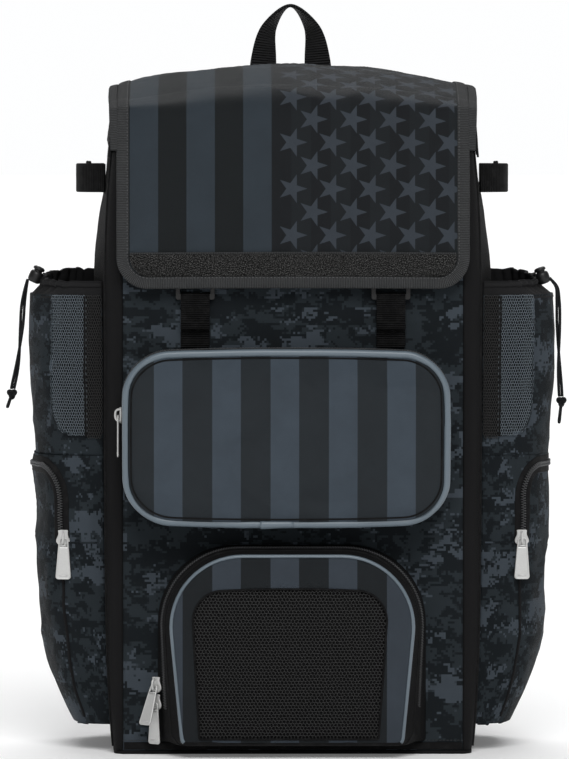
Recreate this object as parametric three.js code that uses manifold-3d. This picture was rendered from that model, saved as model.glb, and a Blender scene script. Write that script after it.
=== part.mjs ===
// A tall backpack for a baseball player, standing on its base.
// Millimetres, +Z up, the front towards -Y, the origin under the middle of the base.
import * as THREE from "three";
import { mergeVertices } from "three/addons/utils/BufferGeometryUtils.js";
import Module from "manifold-3d";

const wasm = await Module();
wasm.setup();

const V = (x, y, z) => new THREE.Vector3(x, y, z);
const { cos, sin, sqrt, PI, abs, max, min } = Math;
const mix = (a, b, t) => a + (b - a) * t;
const ramp = (a, b, x) => min(1, max(0, (x - a) / (b - a)));

// Main compartment
const BODY_WIDTH = 330; // over the two corner bands
const BODY_DEPTH = 230;
const BODY_HEIGHT = 574; // top of the panels, under the lid
const BAND = 15; // width of the black band at each front corner
const CLOTH = 2.4; // coated cloth with its lining
const GUSSET_WALL = 3; // lightly padded side
const BACK_PADDING = 8;
const BASE_WALL = 3;
const GAP = 0.4; // left between neighbouring pieces
const FRONT_BULGE = 3;
const BACK_BULGE = 2;
const GUSSET_DIP = 12; // the gusset's top edge is this much lower at its two ends

// Half widths of the body at each height, as shares of half the width
const BODY_SECTIONS = [
  { up: 0, edge: 0.958, side: 0.97 },
  { up: 0.04, edge: 0.97, side: 0.985 },
  { up: 0.16, edge: 0.99, side: 1.02 },
  { up: 0.4, edge: 1, side: 1.05 },
  { up: 0.6, edge: 1, side: 1.066 },
  { up: 0.745, edge: 1, side: 1.078 },
  { up: 0.86, edge: 0.985, side: 1.018 },
  { up: 0.93, edge: 0.965, side: 0.99 },
  { up: 1, edge: 0.95, side: 0.956 },
];

// Lid
const LID_RISE = 33; // from the panels' top up to the lid's highest line
const LID_CREST = BODY_HEIGHT + LID_RISE;
const LID_DROP = 196; // from the crest down to the lid's front edge
const LID_WALL = 3;
const LID_CROWN = 17; // the crest is this much lower at the lid's sides
const LID_INSET = 10; // the lid is this much narrower than the body at each side
const LID_HALF = BODY_WIDTH / 2 - LID_INSET; // half width over the binding
const BINDING = 11; // width of the ribbed binding
const BINDING_WALL = 4.2;
const LID_CORNER = 28; // radius of the two lower corners
const EAR_STEP = 2; // the binding is narrower by this beside the ears
const EAR_DROP = 76; // from the crest down to where the ear leaves the lid's front edge
const EAR_BACK_DROP = 42; // from the crest down to the ear's lower edge at the back
const EAR_REACH = 6; // the ears stand out past the lid's edge by this at the top
const EAR_WALL = 2.4;
const LOOP_STRIP = 20.5; // height of the fleece strip
const LOOP_WALL = 2.2;

// The lid's section: depth as a share of half the body depth, drop as a share of LID_DROP
const LID_PROFILE = [
  { deep: 0.965, drop: 0.085 },
  { deep: 0.87, drop: 0.03 },
  { deep: 0.66, drop: 0.006 },
  { deep: 0.3, drop: 0 },
  { deep: -0.2, drop: 0.003 },
  { deep: -0.62, drop: 0.02 },
  { deep: -0.88, drop: 0.062 },
  { deep: -1.01, drop: 0.135 },
  { deep: -1.06, drop: 0.24 },
  { deep: -1.085, drop: 0.45 },
  { deep: -1.105, drop: 0.72 },
  { deep: -1.125, drop: 1 },
];

// Webbing
const WEBBING = 25.4;
const WEBBING_WALL = 1.6;
const LID_STRAP_X = 0.2606 * BODY_WIDTH; // centre of each lid strap
const STRAP_FOLD = LID_CREST - LID_DROP - 8; // height of the bar that the lid strap turns round
const STRAP_TAIL = 30; // length of the turned-down tail
const BUCKLE = { width: 34, height: 19, bar: 4, wall: 3 };
const HANDLE = { rise: 56, half: 24.5, sewn: 39, width: 25.4, wall: 3 };

// Lower front pocket, an arch that is wider at its foot
const LOWER = {
  x: -1,
  low: 11,
  high: 185,
  width: 236,
  corner: 68,
  foot: 14,
  depth: 44,
  flare: 8, // the zip band's lean at the sides
  footFlare: 22, // and at the foot
  puff: 7,
};
const LOWER_PIPING = 4;
const WINDOW = { side: 20, top: 30, foot: 6, corner: 22, footCorner: 14 };

// Upper front pocket, over the lower one and under the lid straps' ends
const UPPER_LOW = LOWER.high + 17.4;
const UPPER_TOP = STRAP_FOLD - 44.6;
const UPPER = { left: 0.4, right: 13, corner: 31, depth: 45, puff: 7 }; // left and right are inside the panel
const PIPING = 6; // diameter

// Side pockets: a bat sleeve above a zipped pocket
const POCKET_OUT = 60; // how far they stand out from the body
const POCKET_FRONT = -BODY_DEPTH / 2 + 27;
const POCKET_REAR = BODY_DEPTH / 2 - 35;
const POCKET_FLOOR = 24;
const SLEEVE_FLOOR = 262;
const SLEEVE_TOP = 404;
const SIDE_WALL = 2;
const COLLAR = { front: 13, rear: 20, wall: 2, gathers: 9, ripple: 1.6 };
const MESH = { reach: 44.5, foot: 17, corner: 24 }; // out from the body, and up from the floor
const DOOR = { front: 14, rear: 18, foot: 6, head: 8, corner: 46, gap: 1.2 }; // inside the pocket's edges

// The pockets' plan: distance out from the body and place along its depth, as shares
const POCKET_PLAN = [
  { out: 0, along: 0 },
  { out: 0.3, along: 0.012 },
  { out: 0.6, along: 0.045 },
  { out: 0.83, along: 0.125 },
  { out: 0.96, along: 0.27 },
  { out: 1, along: 0.45 },
  { out: 0.985, along: 0.63 },
  { out: 0.9, along: 0.81 },
  { out: 0.68, along: 0.93 },
  { out: 0.35, along: 0.985 },
  { out: 0, along: 1 },
];
// How full the lower pocket and the sleeve stand at each height
const POCKET_RISE = [
  { up: 0, full: 0.56 },
  { up: 0.045, full: 0.64 },
  { up: 0.14, full: 0.8 },
  { up: 0.29, full: 0.91 },
  { up: 0.5, full: 0.94 },
  { up: 0.8, full: 0.95 },
  { up: 1, full: 0.93 },
];
const SLEEVE_RISE = [
  { up: 0, full: 0.92 },
  { up: 0.25, full: 0.94 },
  { up: 0.6, full: 0.96 },
  { up: 1, full: 0.93 },
];

// Zip sliders and pulls
const SLIDER = { width: 9, height: 12.4, wall: 3, bridge: 3, rise: 4, bar: 1.5 };
const PULL = { length: 36, neck: 10.5, width: 14.3, wall: 1.6, eye: 3.2, eyeLength: 6.4 };
const PULL_LEAN = 20; // degrees that the upper of the two lower pulls leans out
const SIDE_SLIDER = { out: 38, drop: 73 }; // out from the body, and down from the pocket's top
const UPPER_SLIDER_DROP = 58.4; // down from the upper pocket's top
const LOWER_SLIDERS = { a: 51, b: 35.6, turn: 42 }; // over the pocket's foot, and degrees outwards

// Bat straps high on the sides, shoulder straps on the back
const BAT_STRAP = { drop: 79.4, height: 25.4, out: 24, front: 43, length: 80, wall: 2.6 };
const SHOULDER = { x: 0.218, sewn: 28, width: 64, wall: 12, out: 48, end: 0.436, splay: 22 };
const SHOULDER_FOOT = { x: 0.4, z: 0.09 }; // shares of the body's width and height, as x and end are

// Cord locks and drawcords on each side. The chosen points of each cord are offsets from its lock.
const LOCK = { radius: 6, height: 15, share: 0.428 }; // share is its place along the collar
const CORD = 2.6;
const SIDES = [
  {
    name: "left",
    sign: -1,
    lean: 12,
    lockRise: 17,
    proud: 1.3, // of the collar's mean line
    upright: true,
    cord: [V(7.9, 0, -4), V(9.9, 0, -13), V(12, 0, -26), V(13.5, 0, -47), V(17, 0, -79), V(21.5, 0, -102)],
    tail: V(26.5, 0, -119),
  },
  {
    name: "right",
    sign: 1,
    lean: 16.5,
    lockRise: 16,
    proud: 0.5,
    upright: false,
    cord: [V(6.8, 0, -2), V(13, 0, -10), V(14.4, 0, -22), V(14.8, 0, -48), V(15.4, 0, -80), V(16.9, 0, -108)],
    tail: V(15.4, 0, -132),
  },
];

const COLOURS = {
  black: 0x1c1e20,
  camo: 0x2b3033,
  slate: 0x434a52,
  binding: 0x3a3c3e,
  piping: 0x616a6f,
  mesh: 0x26292b,
  metal: 0xa4a4a2,
  plastic: 0x161718,
  cord: 0x141516,
};

const group = new THREE.Group();
function add(name, geometry, colour, parent = group) {
  const metal = colour === "metal";
  const material = new THREE.MeshStandardMaterial({
    color: COLOURS[colour],
    roughness: metal ? 0.35 : colour === "plastic" ? 0.45 : 0.85,
    metalness: metal ? 1 : 0,
  });
  const mesh = new THREE.Mesh(geometry, material);
  mesh.name = name;
  parent.add(mesh);
  return mesh;
}

// A closed geometry from triangles of points, turned so that its faces look out
function closed(triangles) {
  const kept = triangles.filter(([a, b, c]) => {
    const near = 1e-4;
    return a.distanceTo(b) > near && b.distanceTo(c) > near && c.distanceTo(a) > near;
  });
  const volume = kept.reduce((sum, [a, b, c]) => sum + a.dot(b.clone().cross(c)), 0);
  const data = kept.flatMap(([a, b, c]) => (volume < 0 ? [a, c, b] : [a, b, c])).flatMap((p) => p.toArray());
  const geometry = new THREE.BufferGeometry();
  geometry.setAttribute("position", new THREE.Float32BufferAttribute(data, 3));
  geometry.computeVertexNormals();
  return geometry;
}

// The solid between two grids of points, which may run round to their first column
function shell(outer, inner, round = false) {
  const triangles = [];
  const quad = (a, b, c, d) => triangles.push([a, b, c], [a, c, d]);
  const rows = outer.length;
  const columns = outer[0].length;
  const next = (j) => (j + 1) % columns;
  const last = round ? columns : columns - 1;
  for (let i = 0; i < rows - 1; i++) {
    for (let j = 0; j < last; j++) {
      quad(outer[i][j], outer[i][next(j)], outer[i + 1][next(j)], outer[i + 1][j]);
      quad(inner[i][j], inner[i + 1][j], inner[i + 1][next(j)], inner[i][next(j)]);
    }
    if (!round) {
      quad(outer[i][0], outer[i + 1][0], inner[i + 1][0], inner[i][0]);
      quad(outer[i][last], inner[i][last], inner[i + 1][last], outer[i + 1][last]);
    }
  }
  for (let j = 0; j < last; j++) {
    quad(outer[0][j], inner[0][j], inner[0][next(j)], outer[0][next(j)]);
    const end = rows - 1;
    quad(outer[end][j], outer[end][next(j)], inner[end][next(j)], inner[end][j]);
  }
  return closed(triangles);
}

// A grid of points from a function of two shares
function grid(rows, columns, at) {
  const range = (n) => (Array.isArray(n) ? n : Array.from({ length: n + 1 }, (_, k) => k / n));
  return range(rows).map((v) => range(columns).map((u) => at(u, v)));
}

// A section swept along frames {p, side, up}, with flat ends unless it runs round
function sweep(frames, section, round = false) {
  const rings = frames.map(({ p, side, up }) =>
    section.map(([a, b]) => p.clone().addScaledVector(side, a).addScaledVector(up, b)),
  );
  const triangles = [];
  const n = section.length;
  const spans = round ? rings.length : rings.length - 1;
  for (let i = 0; i < spans; i++) {
    const here = rings[i];
    const there = rings[(i + 1) % rings.length];
    for (let j = 0; j < n; j++) {
      const k = (j + 1) % n;
      triangles.push([here[j], here[k], there[k]], [here[j], there[k], there[j]]);
    }
  }
  if (!round) {
    const flat = section.map(([a, b]) => new THREE.Vector2(a, b));
    for (const [a, b, c] of THREE.ShapeUtils.triangulateShape(flat, [])) {
      const end = rings[rings.length - 1];
      triangles.push([rings[0][c], rings[0][b], rings[0][a]], [end[a], end[b], end[c]]);
    }
    const facing = THREE.ShapeUtils.isClockWise(flat);
    if (facing) {
      const caps = 2 * (n - 2);
      for (const t of triangles.slice(-caps)) t.reverse();
    }
  }
  return closed(triangles);
}

// Frames along a curve, with the section's up side kept near a given direction
function framesAlong(curve, steps, upAt) {
  return Array.from({ length: steps + 1 }, (_, i) => {
    const t = i / steps;
    const along = curve.getTangentAt(t);
    const side = along.clone().cross(upAt(t)).normalize();
    return { p: curve.getPointAt(t), side, up: side.clone().cross(along).normalize() };
  });
}

const strip = (width, wall) => [
  [-width / 2, 0],
  [width / 2, 0],
  [width / 2, wall],
  [-width / 2, wall],
];

// A polygon's outline in a plane, with arcs at its corners {x, y, r}, of so many chords each
function rounded(corners, arc = 3, straight = 2) {
  const outline = [];
  const arcs = [];
  corners.forEach((corner, i) => {
    const before = corners[(i + corners.length - 1) % corners.length];
    const after = corners[(i + 1) % corners.length];
    const p = new THREE.Vector2(corner.x, corner.y);
    const a = new THREE.Vector2(before.x, before.y).sub(p).normalize();
    const b = new THREE.Vector2(after.x, after.y).sub(p).normalize();
    const half = a.angleTo(b) / 2;
    const back = corner.r / Math.tan(half);
    const centre = a.clone().add(b).normalize().multiplyScalar(corner.r / sin(half)).add(p);
    const from = p.clone().addScaledVector(a, back).sub(centre);
    const turn = from.clone().cross(p.clone().addScaledVector(b, back).sub(centre)) < 0 ? -1 : 1;
    const chords = corner.arc ?? arc;
    arcs.push(
      Array.from({ length: chords + 1 }, (_, k) => {
        const angle = (turn * (PI - 2 * half) * k) / chords;
        return from.clone().rotateAround(new THREE.Vector2(), angle).add(centre);
      }),
    );
  });
  arcs.forEach((points, i) => {
    outline.push(...points);
    const p = points[points.length - 1];
    const q = arcs[(i + 1) % arcs.length][0];
    for (let k = 1; k < straight; k++) outline.push(p.clone().lerp(q, k / straight));
  });
  return outline;
}

// The same outline moved inwards by a distance
function inset(outline, distance) {
  const n = outline.length;
  const wise = THREE.ShapeUtils.isClockWise(outline) ? -1 : 1;
  return outline.map((p, i) => {
    const a = outline[(i + n - 1) % n];
    const b = outline[(i + 1) % n];
    const one = p.clone().sub(a).normalize();
    const two = b.clone().sub(p).normalize();
    const normal = new THREE.Vector2(-one.y - two.y, one.x + two.x).normalize();
    const miter = 1 / max(0.5, abs(normal.dot(new THREE.Vector2(-one.y, one.x))));
    return p.clone().addScaledVector(normal, distance * wise * miter);
  });
}

// Solids for cutting and joining
function solid(geometry) {
  const bare = new THREE.BufferGeometry();
  const flat = geometry.index ? geometry.toNonIndexed() : geometry;
  bare.setAttribute("position", flat.getAttribute("position"));
  const merged = mergeVertices(bare, 1e-4);
  return new wasm.Manifold(
    new wasm.Mesh({
      numProp: 3,
      vertProperties: merged.attributes.position.array,
      triVerts: new Uint32Array(merged.index.array),
    }),
  );
}
function fromSolid(made) {
  const mesh = made.getMesh();
  const geometry = new THREE.BufferGeometry();
  geometry.setAttribute("position", new THREE.BufferAttribute(mesh.vertProperties, mesh.numProp));
  geometry.setIndex(new THREE.BufferAttribute(mesh.triVerts, 1));
  const flat = geometry.toNonIndexed();
  flat.computeVertexNormals();
  return flat;
}

// An outline pushed along Z, then turned so that its plane is XZ or YZ
function extruded(outline, depth, holes = [], plane = "xy") {
  const shape = new THREE.Shape(outline);
  for (const hole of holes) shape.holes.push(new THREE.Path(hole));
  const geometry = new THREE.ExtrudeGeometry(shape, { depth, bevelEnabled: false });
  if (plane === "xz") geometry.rotateX(PI / 2);
  if (plane === "yz") geometry.rotateX(PI / 2).rotateZ(PI / 2);
  return geometry;
}

function mirrored(geometry, sign) {
  if (sign > 0) return geometry;
  const copy = geometry.index ? geometry.toNonIndexed() : geometry.clone();
  const p = copy.getAttribute("position");
  for (let i = 0; i < p.count; i += 3) {
    const [a, b, c] = [0, 1, 2].map((k) => V().fromBufferAttribute(p, i + k));
    [a, c, b].forEach((q, k) => p.setXYZ(i + k, -q.x, q.y, q.z));
  }
  copy.computeVertexNormals();
  return copy;
}

// The body's form
const SEAT = BASE_WALL + GAP; // where the walls start, over the base
const HALF_DEPTH = BODY_DEPTH / 2;
const PANEL_HALF = BODY_WIDTH / 2 - BAND;

function section(z) {
  const up = ramp(SEAT, BODY_HEIGHT, z);
  const i = max(0, BODY_SECTIONS.findIndex((row) => row.up >= up) - 1);
  const [a, b] = [BODY_SECTIONS[i], BODY_SECTIONS[i + 1]];
  const t = (up - a.up) / (b.up - a.up);
  return {
    edge: (mix(a.edge, b.edge, t) * BODY_WIDTH) / 2,
    side: (mix(a.side, b.side, t) * BODY_WIDTH) / 2,
  };
}
// Half width of the body's side at a depth and height
function sideX(y, z) {
  const { edge, side } = section(z);
  const share = min(1, abs(y) / (HALF_DEPTH - BAND));
  return edge + (side - edge) * (1 - share * share);
}
const bulge = (x, z) => (1 - (x / PANEL_HALF) ** 2) * (1 - (2 * ramp(SEAT, BODY_HEIGHT, z) - 1) ** 2);
const frontY = (x, z) => -HALF_DEPTH - FRONT_BULGE * bulge(x, z);
const backY = (x, z) => HALF_DEPTH + BACK_BULGE * bulge(x, z);

// Points of the gusset's plan at a height, from the front panel to the back panel
function gussetPlan(z, corner = 3, side = 7) {
  const { edge } = section(z);
  const arc = (k, end) => {
    const angle = ((PI / 2) * k) / corner;
    const x = PANEL_HALF + (edge - PANEL_HALF) * sin(angle);
    return new THREE.Vector2(x, end * (HALF_DEPTH - BAND + BAND * cos(angle)));
  };
  const points = [];
  for (let k = 0; k <= corner; k++) points.push(arc(k, -1));
  for (let k = 1; k < side; k++) {
    const y = mix(-1, 1, k / side) * (HALF_DEPTH - BAND);
    points.push(new THREE.Vector2(sideX(y, z), y));
  }
  for (let k = corner; k >= 0; k--) points.push(arc(k, 1));
  return points;
}
function offsetOpen(points, distance) {
  return points.map((p, i) => {
    const a = points[max(0, i - 1)];
    const b = points[min(points.length - 1, i + 1)];
    if (i === 0) return new THREE.Vector2(p.x, p.y + distance);
    if (i === points.length - 1) return new THREE.Vector2(p.x, p.y - distance);
    const along = b.clone().sub(a).normalize();
    return new THREE.Vector2(p.x - along.y * distance, p.y + along.x * distance);
  });
}

function makeBody() {
  const heights = BODY_SECTIONS.map((row) => mix(SEAT, BODY_HEIGHT, row.up));
  const dip = (y, z) => z - GUSSET_DIP * (y / HALF_DEPTH) ** 2 * ramp(0.8 * BODY_HEIGHT, BODY_HEIGHT, z) ** 2;
  const rows = (wall) =>
    heights.map((z) =>
      offsetOpen(gussetPlan(z), wall).map((p, i) => V(p.x, p.y, dip(gussetPlan(z)[i].y, z))),
    );
  const gusset = shell(rows(0), rows(GUSSET_WALL));
  const half = PANEL_HALF - GAP;
  const frontTop = BODY_HEIGHT - GUSSET_DIP;
  const panel = (face, wall, top) => {
    const at = (shift) => (u, v) => {
      const [x, z] = [mix(-half, half, u), mix(SEAT, top, v)];
      return V(x, face(x, z) + shift, z);
    };
    return shell(grid(8, 8, at(0)), grid(8, 8, at(wall)));
  };
  add("front_panel", panel(frontY, CLOTH, frontTop), "camo");
  add("back_panel", panel(backY, -BACK_PADDING, BODY_HEIGHT), "black");
  add("gusset_left", mirrored(gusset, -1), "black");
  add("gusset_right", gusset, "black");
  const plan = gussetPlan(SEAT);
  const outline = [...plan, ...plan.map((p) => new THREE.Vector2(-p.x, p.y)).reverse()];
  add("base_panel", extruded(outline, BASE_WALL), "black");
}

// The lid's surface: x across, s along its section from the back, off outwards
const lidCurve = new THREE.CatmullRomCurve3(
  [
    V(0, LID_PROFILE[0].deep * HALF_DEPTH, BODY_HEIGHT + GAP),
    ...LID_PROFILE.map((row) => V(0, row.deep * HALF_DEPTH, LID_CREST - row.drop * LID_DROP)),
  ],
  false,
  "centripetal",
);
const LID_LENGTH = lidCurve.getLength();
function lidPoint(x, length, off) {
  const s = ramp(0, LID_LENGTH, length);
  const p = lidCurve.getPointAt(s);
  const along = lidCurve.getTangentAt(s);
  const normal = V(0, along.z, -along.y);
  const across = (x / LID_HALF) ** 2;
  const rise = max(0, normal.z);
  return V(x, p.y, p.z - LID_CROWN * across * rise).addScaledVector(normal, off);
}
// The length along the lid's section where its front comes down to a height
function lidLengthAt(z) {
  let [low, high] = [LID_LENGTH / 2, LID_LENGTH];
  for (let k = 0; k < 30; k++) {
    const middle = (low + high) / 2;
    if (lidPoint(LID_HALF, middle, 0).z > z) low = middle;
    else high = middle;
  }
  return low;
}
const EAR_END = lidLengthAt(LID_CREST - EAR_DROP);

// Half width of a rounded lid outline that lies inside the outer one by a distance
function lidHalf(length, inside) {
  const radius = LID_CORNER - inside;
  const centre = LID_LENGTH - LID_CORNER;
  const past = min(radius, max(0, length - centre));
  const step = length < EAR_END ? EAR_STEP : 0;
  const straight = LID_HALF - LID_CORNER - (inside > 0 ? 0 : step);
  return straight + sqrt(max(0, radius * radius - past * past));
}

function makeLid() {
  const inner = BINDING + GAP;
  const turn = [0.4, 0.72, 0.92, 1].map(
    (k) => LID_LENGTH - LID_CORNER + k * (LID_CORNER - inner),
  );
  const straight = [0, 0.035, 0.08, 0.14, 0.24, 0.36, 0.44, 0.5, 0.545, 0.59, 0.64, 0.72, 0.82];
  const lengths = [...straight.map((k) => k * LID_LENGTH), LID_LENGTH - LID_CORNER, ...turn];
  const at = (off) => (u, length) => lidPoint(mix(-1, 1, u) * lidHalf(length, inner), length, off);
  add("lid", shell(grid(lengths, 6, at(0)), grid(lengths, 6, at(-LID_WALL))), "slate");

  const proud = (BINDING_WALL - LID_WALL) / 2;
  const along = [...straight.map((k) => k * LID_LENGTH).filter((l) => l < EAR_END - 1), EAR_END - 0.5, EAR_END + 0.5];
  along.push(...straight.map((k) => k * LID_LENGTH).filter((l) => l > EAR_END + 1), LID_LENGTH - LID_CORNER);
  const edge = along.map((length) => [
    [-lidHalf(length, BINDING), length],
    [-lidHalf(length, 0), length],
  ]);
  const centre = LID_LENGTH - LID_CORNER;
  const bend = (k) => {
    const angle = ((PI / 2) * k) / 5;
    return [LID_CORNER - BINDING, LID_CORNER].map((r) => [
      -(LID_HALF - LID_CORNER) - r * cos(angle),
      centre + r * sin(angle),
    ]);
  };
  for (let k = 1; k <= 5; k++) edge.push(bend(k));
  const half = edge.map((row) => row.map(([x, l]) => [x, l]));
  const middle = [-0.5, 0, 0.5].map((share) => [
    [share * 2 * (LID_HALF - LID_CORNER), LID_LENGTH - BINDING],
    [share * 2 * (LID_HALF - LID_CORNER), LID_LENGTH],
  ]);
  const path = [...half, ...middle, ...half.map((row) => row.map(([x, l]) => [-x, l])).reverse()];
  const side = (off, lift) =>
    path.map(([[xi, li], [xo, lo]]) =>
      [0, 0.5, 1].map((k) => lidPoint(mix(xi, xo, k), mix(li, lo, k), off + lift * sin(PI * k))),
    );
  add("lid_binding", shell(side(proud, 0.6), side(-LID_WALL - proud, 0)), "binding");

  const stripTop = LID_LENGTH - BINDING - LOOP_STRIP;
  const rows = [stripTop, mix(stripTop, centre, 0.5), centre, ...turn];
  const on = (off) => (u, length) => lidPoint(mix(-1, 1, u) * (lidHalf(length, inner) - GAP), length, off);
  add("lid_loop_strip", shell(grid(rows, 6, on(GAP + LOOP_WALL)), grid(rows, 6, on(GAP))), "binding");

  const run = along.filter((length) => length < EAR_END);
  const share = (length) => ramp(EAR_END, EAR_END * 0.72, length);
  const from = LID_HALF - EAR_STEP + GAP;
  const to = (length) => mix(LID_HALF + 1, LID_HALF + EAR_REACH, share(length));
  const rim = (off, lift) =>
    run.map((length) =>
      [0, 0.5, 1].map((k) => lidPoint(mix(from, to(length), k), length, off + lift * sin(PI * k))),
    );
  const rimSolid = shell(rim(proud, 0.5), rim(-LID_WALL - proud, 0));
  const lowest = (length) => {
    const p = lidPoint(LID_HALF + EAR_REACH, length, 0);
    const back = ramp(-HALF_DEPTH, HALF_DEPTH, p.y);
    return LID_CREST - mix(EAR_DROP + 3, EAR_BACK_DROP, back);
  };
  const flap = (wall) =>
    run.map((length) => {
      const top = lidPoint(to(length), length, -LID_WALL - proud - GAP);
      const foot = min(lowest(length), top.z - 4);
      return [0, 0.35, 0.7, 1].map((k) => {
        const z = mix(top.z, foot, k);
        const clear = sideX(top.y, z) + GAP + EAR_WALL;
        return V(max(top.x - 0.5, clear) - wall, top.y, z);
      });
    });
  const flapSolid = shell(flap(0), flap(EAR_WALL));
  for (const { name, sign } of SIDES) {
    add("ear_binding_" + name, mirrored(rimSolid, sign), "binding");
    add("ear_" + name, mirrored(flapSolid, sign), "black");
  }
}

function makeLidStraps() {
  for (const { name, sign } of SIDES) {
    const x = sign * LID_STRAP_X;
    const foot = UPPER_TOP + GAP;
    const y = frontY(LID_STRAP_X - WEBBING / 2, foot) - GAP;
    const step = BUCKLE.wall + 2 * GAP + WEBBING_WALL;
    const turn = STRAP_FOLD + BUCKLE.bar / 2 + GAP;
    const tail = y - step;
    const outline = [
      [y, foot],
      [y, turn + WEBBING_WALL],
      [tail - WEBBING_WALL, turn + WEBBING_WALL],
      [tail - WEBBING_WALL, turn - STRAP_TAIL],
      [tail, turn - STRAP_TAIL],
      [tail, turn],
      [y - WEBBING_WALL, turn],
      [y - WEBBING_WALL, foot],
    ].map(([a, b]) => new THREE.Vector2(a, b));
    const webbing = extruded(outline, WEBBING, [], "yz").translate(x - WEBBING / 2, 0, 0);
    add("lid_strap_" + name, webbing, "black");

    const low = STRAP_FOLD - BUCKLE.bar / 2;
    const box = (half, a, b) =>
      rounded([{ x: -half, y: a, r: 1.2 }, { x: half, y: a, r: 1.2 }, { x: half, y: b, r: 1.2 }, { x: -half, y: b, r: 1.2 }], 1, 1);
    const rim = box(BUCKLE.width / 2, low, low + BUCKLE.height);
    const eye = box(WEBBING / 2 + 0.8, low + BUCKLE.bar, low + BUCKLE.height - BUCKLE.bar);
    const buckle = extruded(rim, BUCKLE.wall, [eye], "xz");
    add("buckle_" + name, buckle.translate(x, y - WEBBING_WALL - GAP, 0), "plastic");
  }
}

function makeHandle() {
  const { half, rise, sewn, width, wall } = HANDLE;
  const foot = BODY_HEIGHT - sewn;
  const top = LID_CREST + rise;
  const bend = mix(foot, top, 0.617);
  const y = backY(0, foot) + GAP;
  const leg = [V(-half, y, foot), V(-half, y, mix(foot, bend, 0.5)), V(-half, y, bend), V(-half * 0.78, y, mix(bend, top, 0.6))];
  const points = [...leg, V(0, y, top), ...leg.map((p) => V(-p.x, p.y, p.z)).reverse()];
  const curve = new THREE.CatmullRomCurve3(points, false, "centripetal");
  // The webbing lies flat on the back at its feet and is turned edge on at the top
  const frames = Array.from({ length: 21 }, (_, i) => {
    const t = i / 20;
    const p = curve.getPointAt(t);
    const twist = (PI / 2) * ramp(0.2, 0.5, t) + (PI / 2) * ramp(0.5, 0.8, t);
    const along = curve.getTangentAt(t);
    const side = V(cos(twist), sin(twist), 0);
    side.addScaledVector(along, -side.dot(along)).normalize();
    const up = along.clone().cross(side).normalize();
    const lift = ((width - wall) / 2) * sin(twist) + wall / 2;
    return { p: p.add(V(0, lift, 0)), side, up };
  });
  const webbing = strip(width, wall).map(([a, b]) => [a, b - wall / 2]);
  add("top_handle", sweep(frames, webbing), "black");
}

// A loop of points in an upright plane, from an outline in x and z and a depth
const loop = (outline, yAt) => outline.map((p) => V(p.x, yAt(p.x, p.y), p.y));

// A round section of so many sides
const ring = (radius, sides) =>
  Array.from({ length: sides }, (_, k) => [
    radius * cos((2 * PI * k) / sides),
    radius * sin((2 * PI * k) / sides),
  ]);
// Piping along a closed outline at a depth
function piping(outline, yAt, diameter, sides = 6) {
  const points = loop(outline, yAt);
  const n = points.length;
  const frames = points.map((p, i) => {
    const along = points[(i + 1) % n].clone().sub(points[(i + n - 1) % n]).normalize();
    const up = V(0, -1, 0);
    const side = along.clone().cross(up).normalize();
    return { p, side, up };
  });
  return sweep(frames, ring(diameter / 2, sides), true);
}
// The wall between an outline on the body and one in front of it
function pocketWall(base, front, baseY, frontDepth, wall) {
  const shares = [0, 0.3, 0.65, 1];
  const swell = 1.2;
  const row = (k, inwards) => {
    const [a, b] = [inset(base, inwards), inset(front, inwards)];
    const out = inset(base, inwards - swell);
    return a.map((p, i) => {
      const q = p.clone().lerp(b[i], k);
      q.addScaledVector(out[i].clone().sub(p), sin(PI * k));
      return V(q.x, mix(baseY(p.x, p.y), frontDepth, k), q.y);
    });
  };
  return shell(shares.map((k) => row(k, 0)), shares.map((k) => row(k, wall)), true);
}
// A plate inside an outline, swelling forwards, with a centre or a window
function face(outline, centre, yAt, wall, rings, window = null) {
  const shares = Array.from({ length: rings + 1 }, (_, k) => k / rings);
  const row = (k, back) =>
    outline.map((p, i) => {
      const q = p.clone().lerp(window ? window[i] : centre, k);
      return V(q.x, yAt(q.x, q.y) + back, q.y);
    });
  const outer = shares.map((k) => row(k, 0));
  const inner = shares.map((k) => row(k, wall));
  if (window) return shell(outer, inner, true);
  const triangles = [];
  const n = outline.length;
  for (let i = 0; i < rings; i++) {
    for (let j = 0; j < n; j++) {
      const k = (j + 1) % n;
      for (const [g, way] of [[outer, 1], [inner, -1]]) {
        const [a, b, c, d] = [g[i][j], g[i][k], g[i + 1][k], g[i + 1][j]];
        const cell = [[a, b, c], [a, c, d]];
        triangles.push(...(way > 0 ? cell : cell.map((t) => t.reverse())));
      }
    }
  }
  for (let j = 0; j < n; j++) {
    const k = (j + 1) % n;
    triangles.push([outer[0][j], inner[0][j], inner[0][k]], [outer[0][j], inner[0][k], outer[0][k]]);
  }
  return closed(triangles);
}

// Zip slider with its bridge: front towards -Y, its middle over the origin
function sliderGeometry() {
  const { width, height, wall, bridge, rise, bar } = SLIDER;
  const w = width / 2;
  const h = height / 2;
  const plate = [[-w * 0.7, h], [-w, h * 0.3], [-w * 0.72, -h], [w * 0.72, -h], [w, h * 0.3], [w * 0.7, h]];
  const body = extruded(plate.map(([a, b]) => new THREE.Vector2(a, b)), wall, [], "xz");
  const post = h - 0.4;
  const thick = 1.5;
  const top = wall + rise;
  const arch = [
    [-wall + 0.3, -post],
    [-top + 1, -post],
    [-top, -post + 1],
    [-top, post - 1],
    [-top + 1, post],
    [-wall + 0.3, post],
    [-wall + 0.3, post - thick],
    [-top + bar, post - thick],
    [-top + bar, -post + thick],
    [-wall + 0.3, -post + thick],
  ].map(([a, b]) => new THREE.Vector2(a, b));
  const loopOver = extruded(arch, bridge, [], "yz").translate(-bridge / 2, 0, 0);
  return fromSolid(solid(body).add(solid(loopOver)));
}
const PIVOT = SLIDER.wall + (SLIDER.rise - SLIDER.bar) / 2; // height of the pull's bar over the cloth

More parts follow.
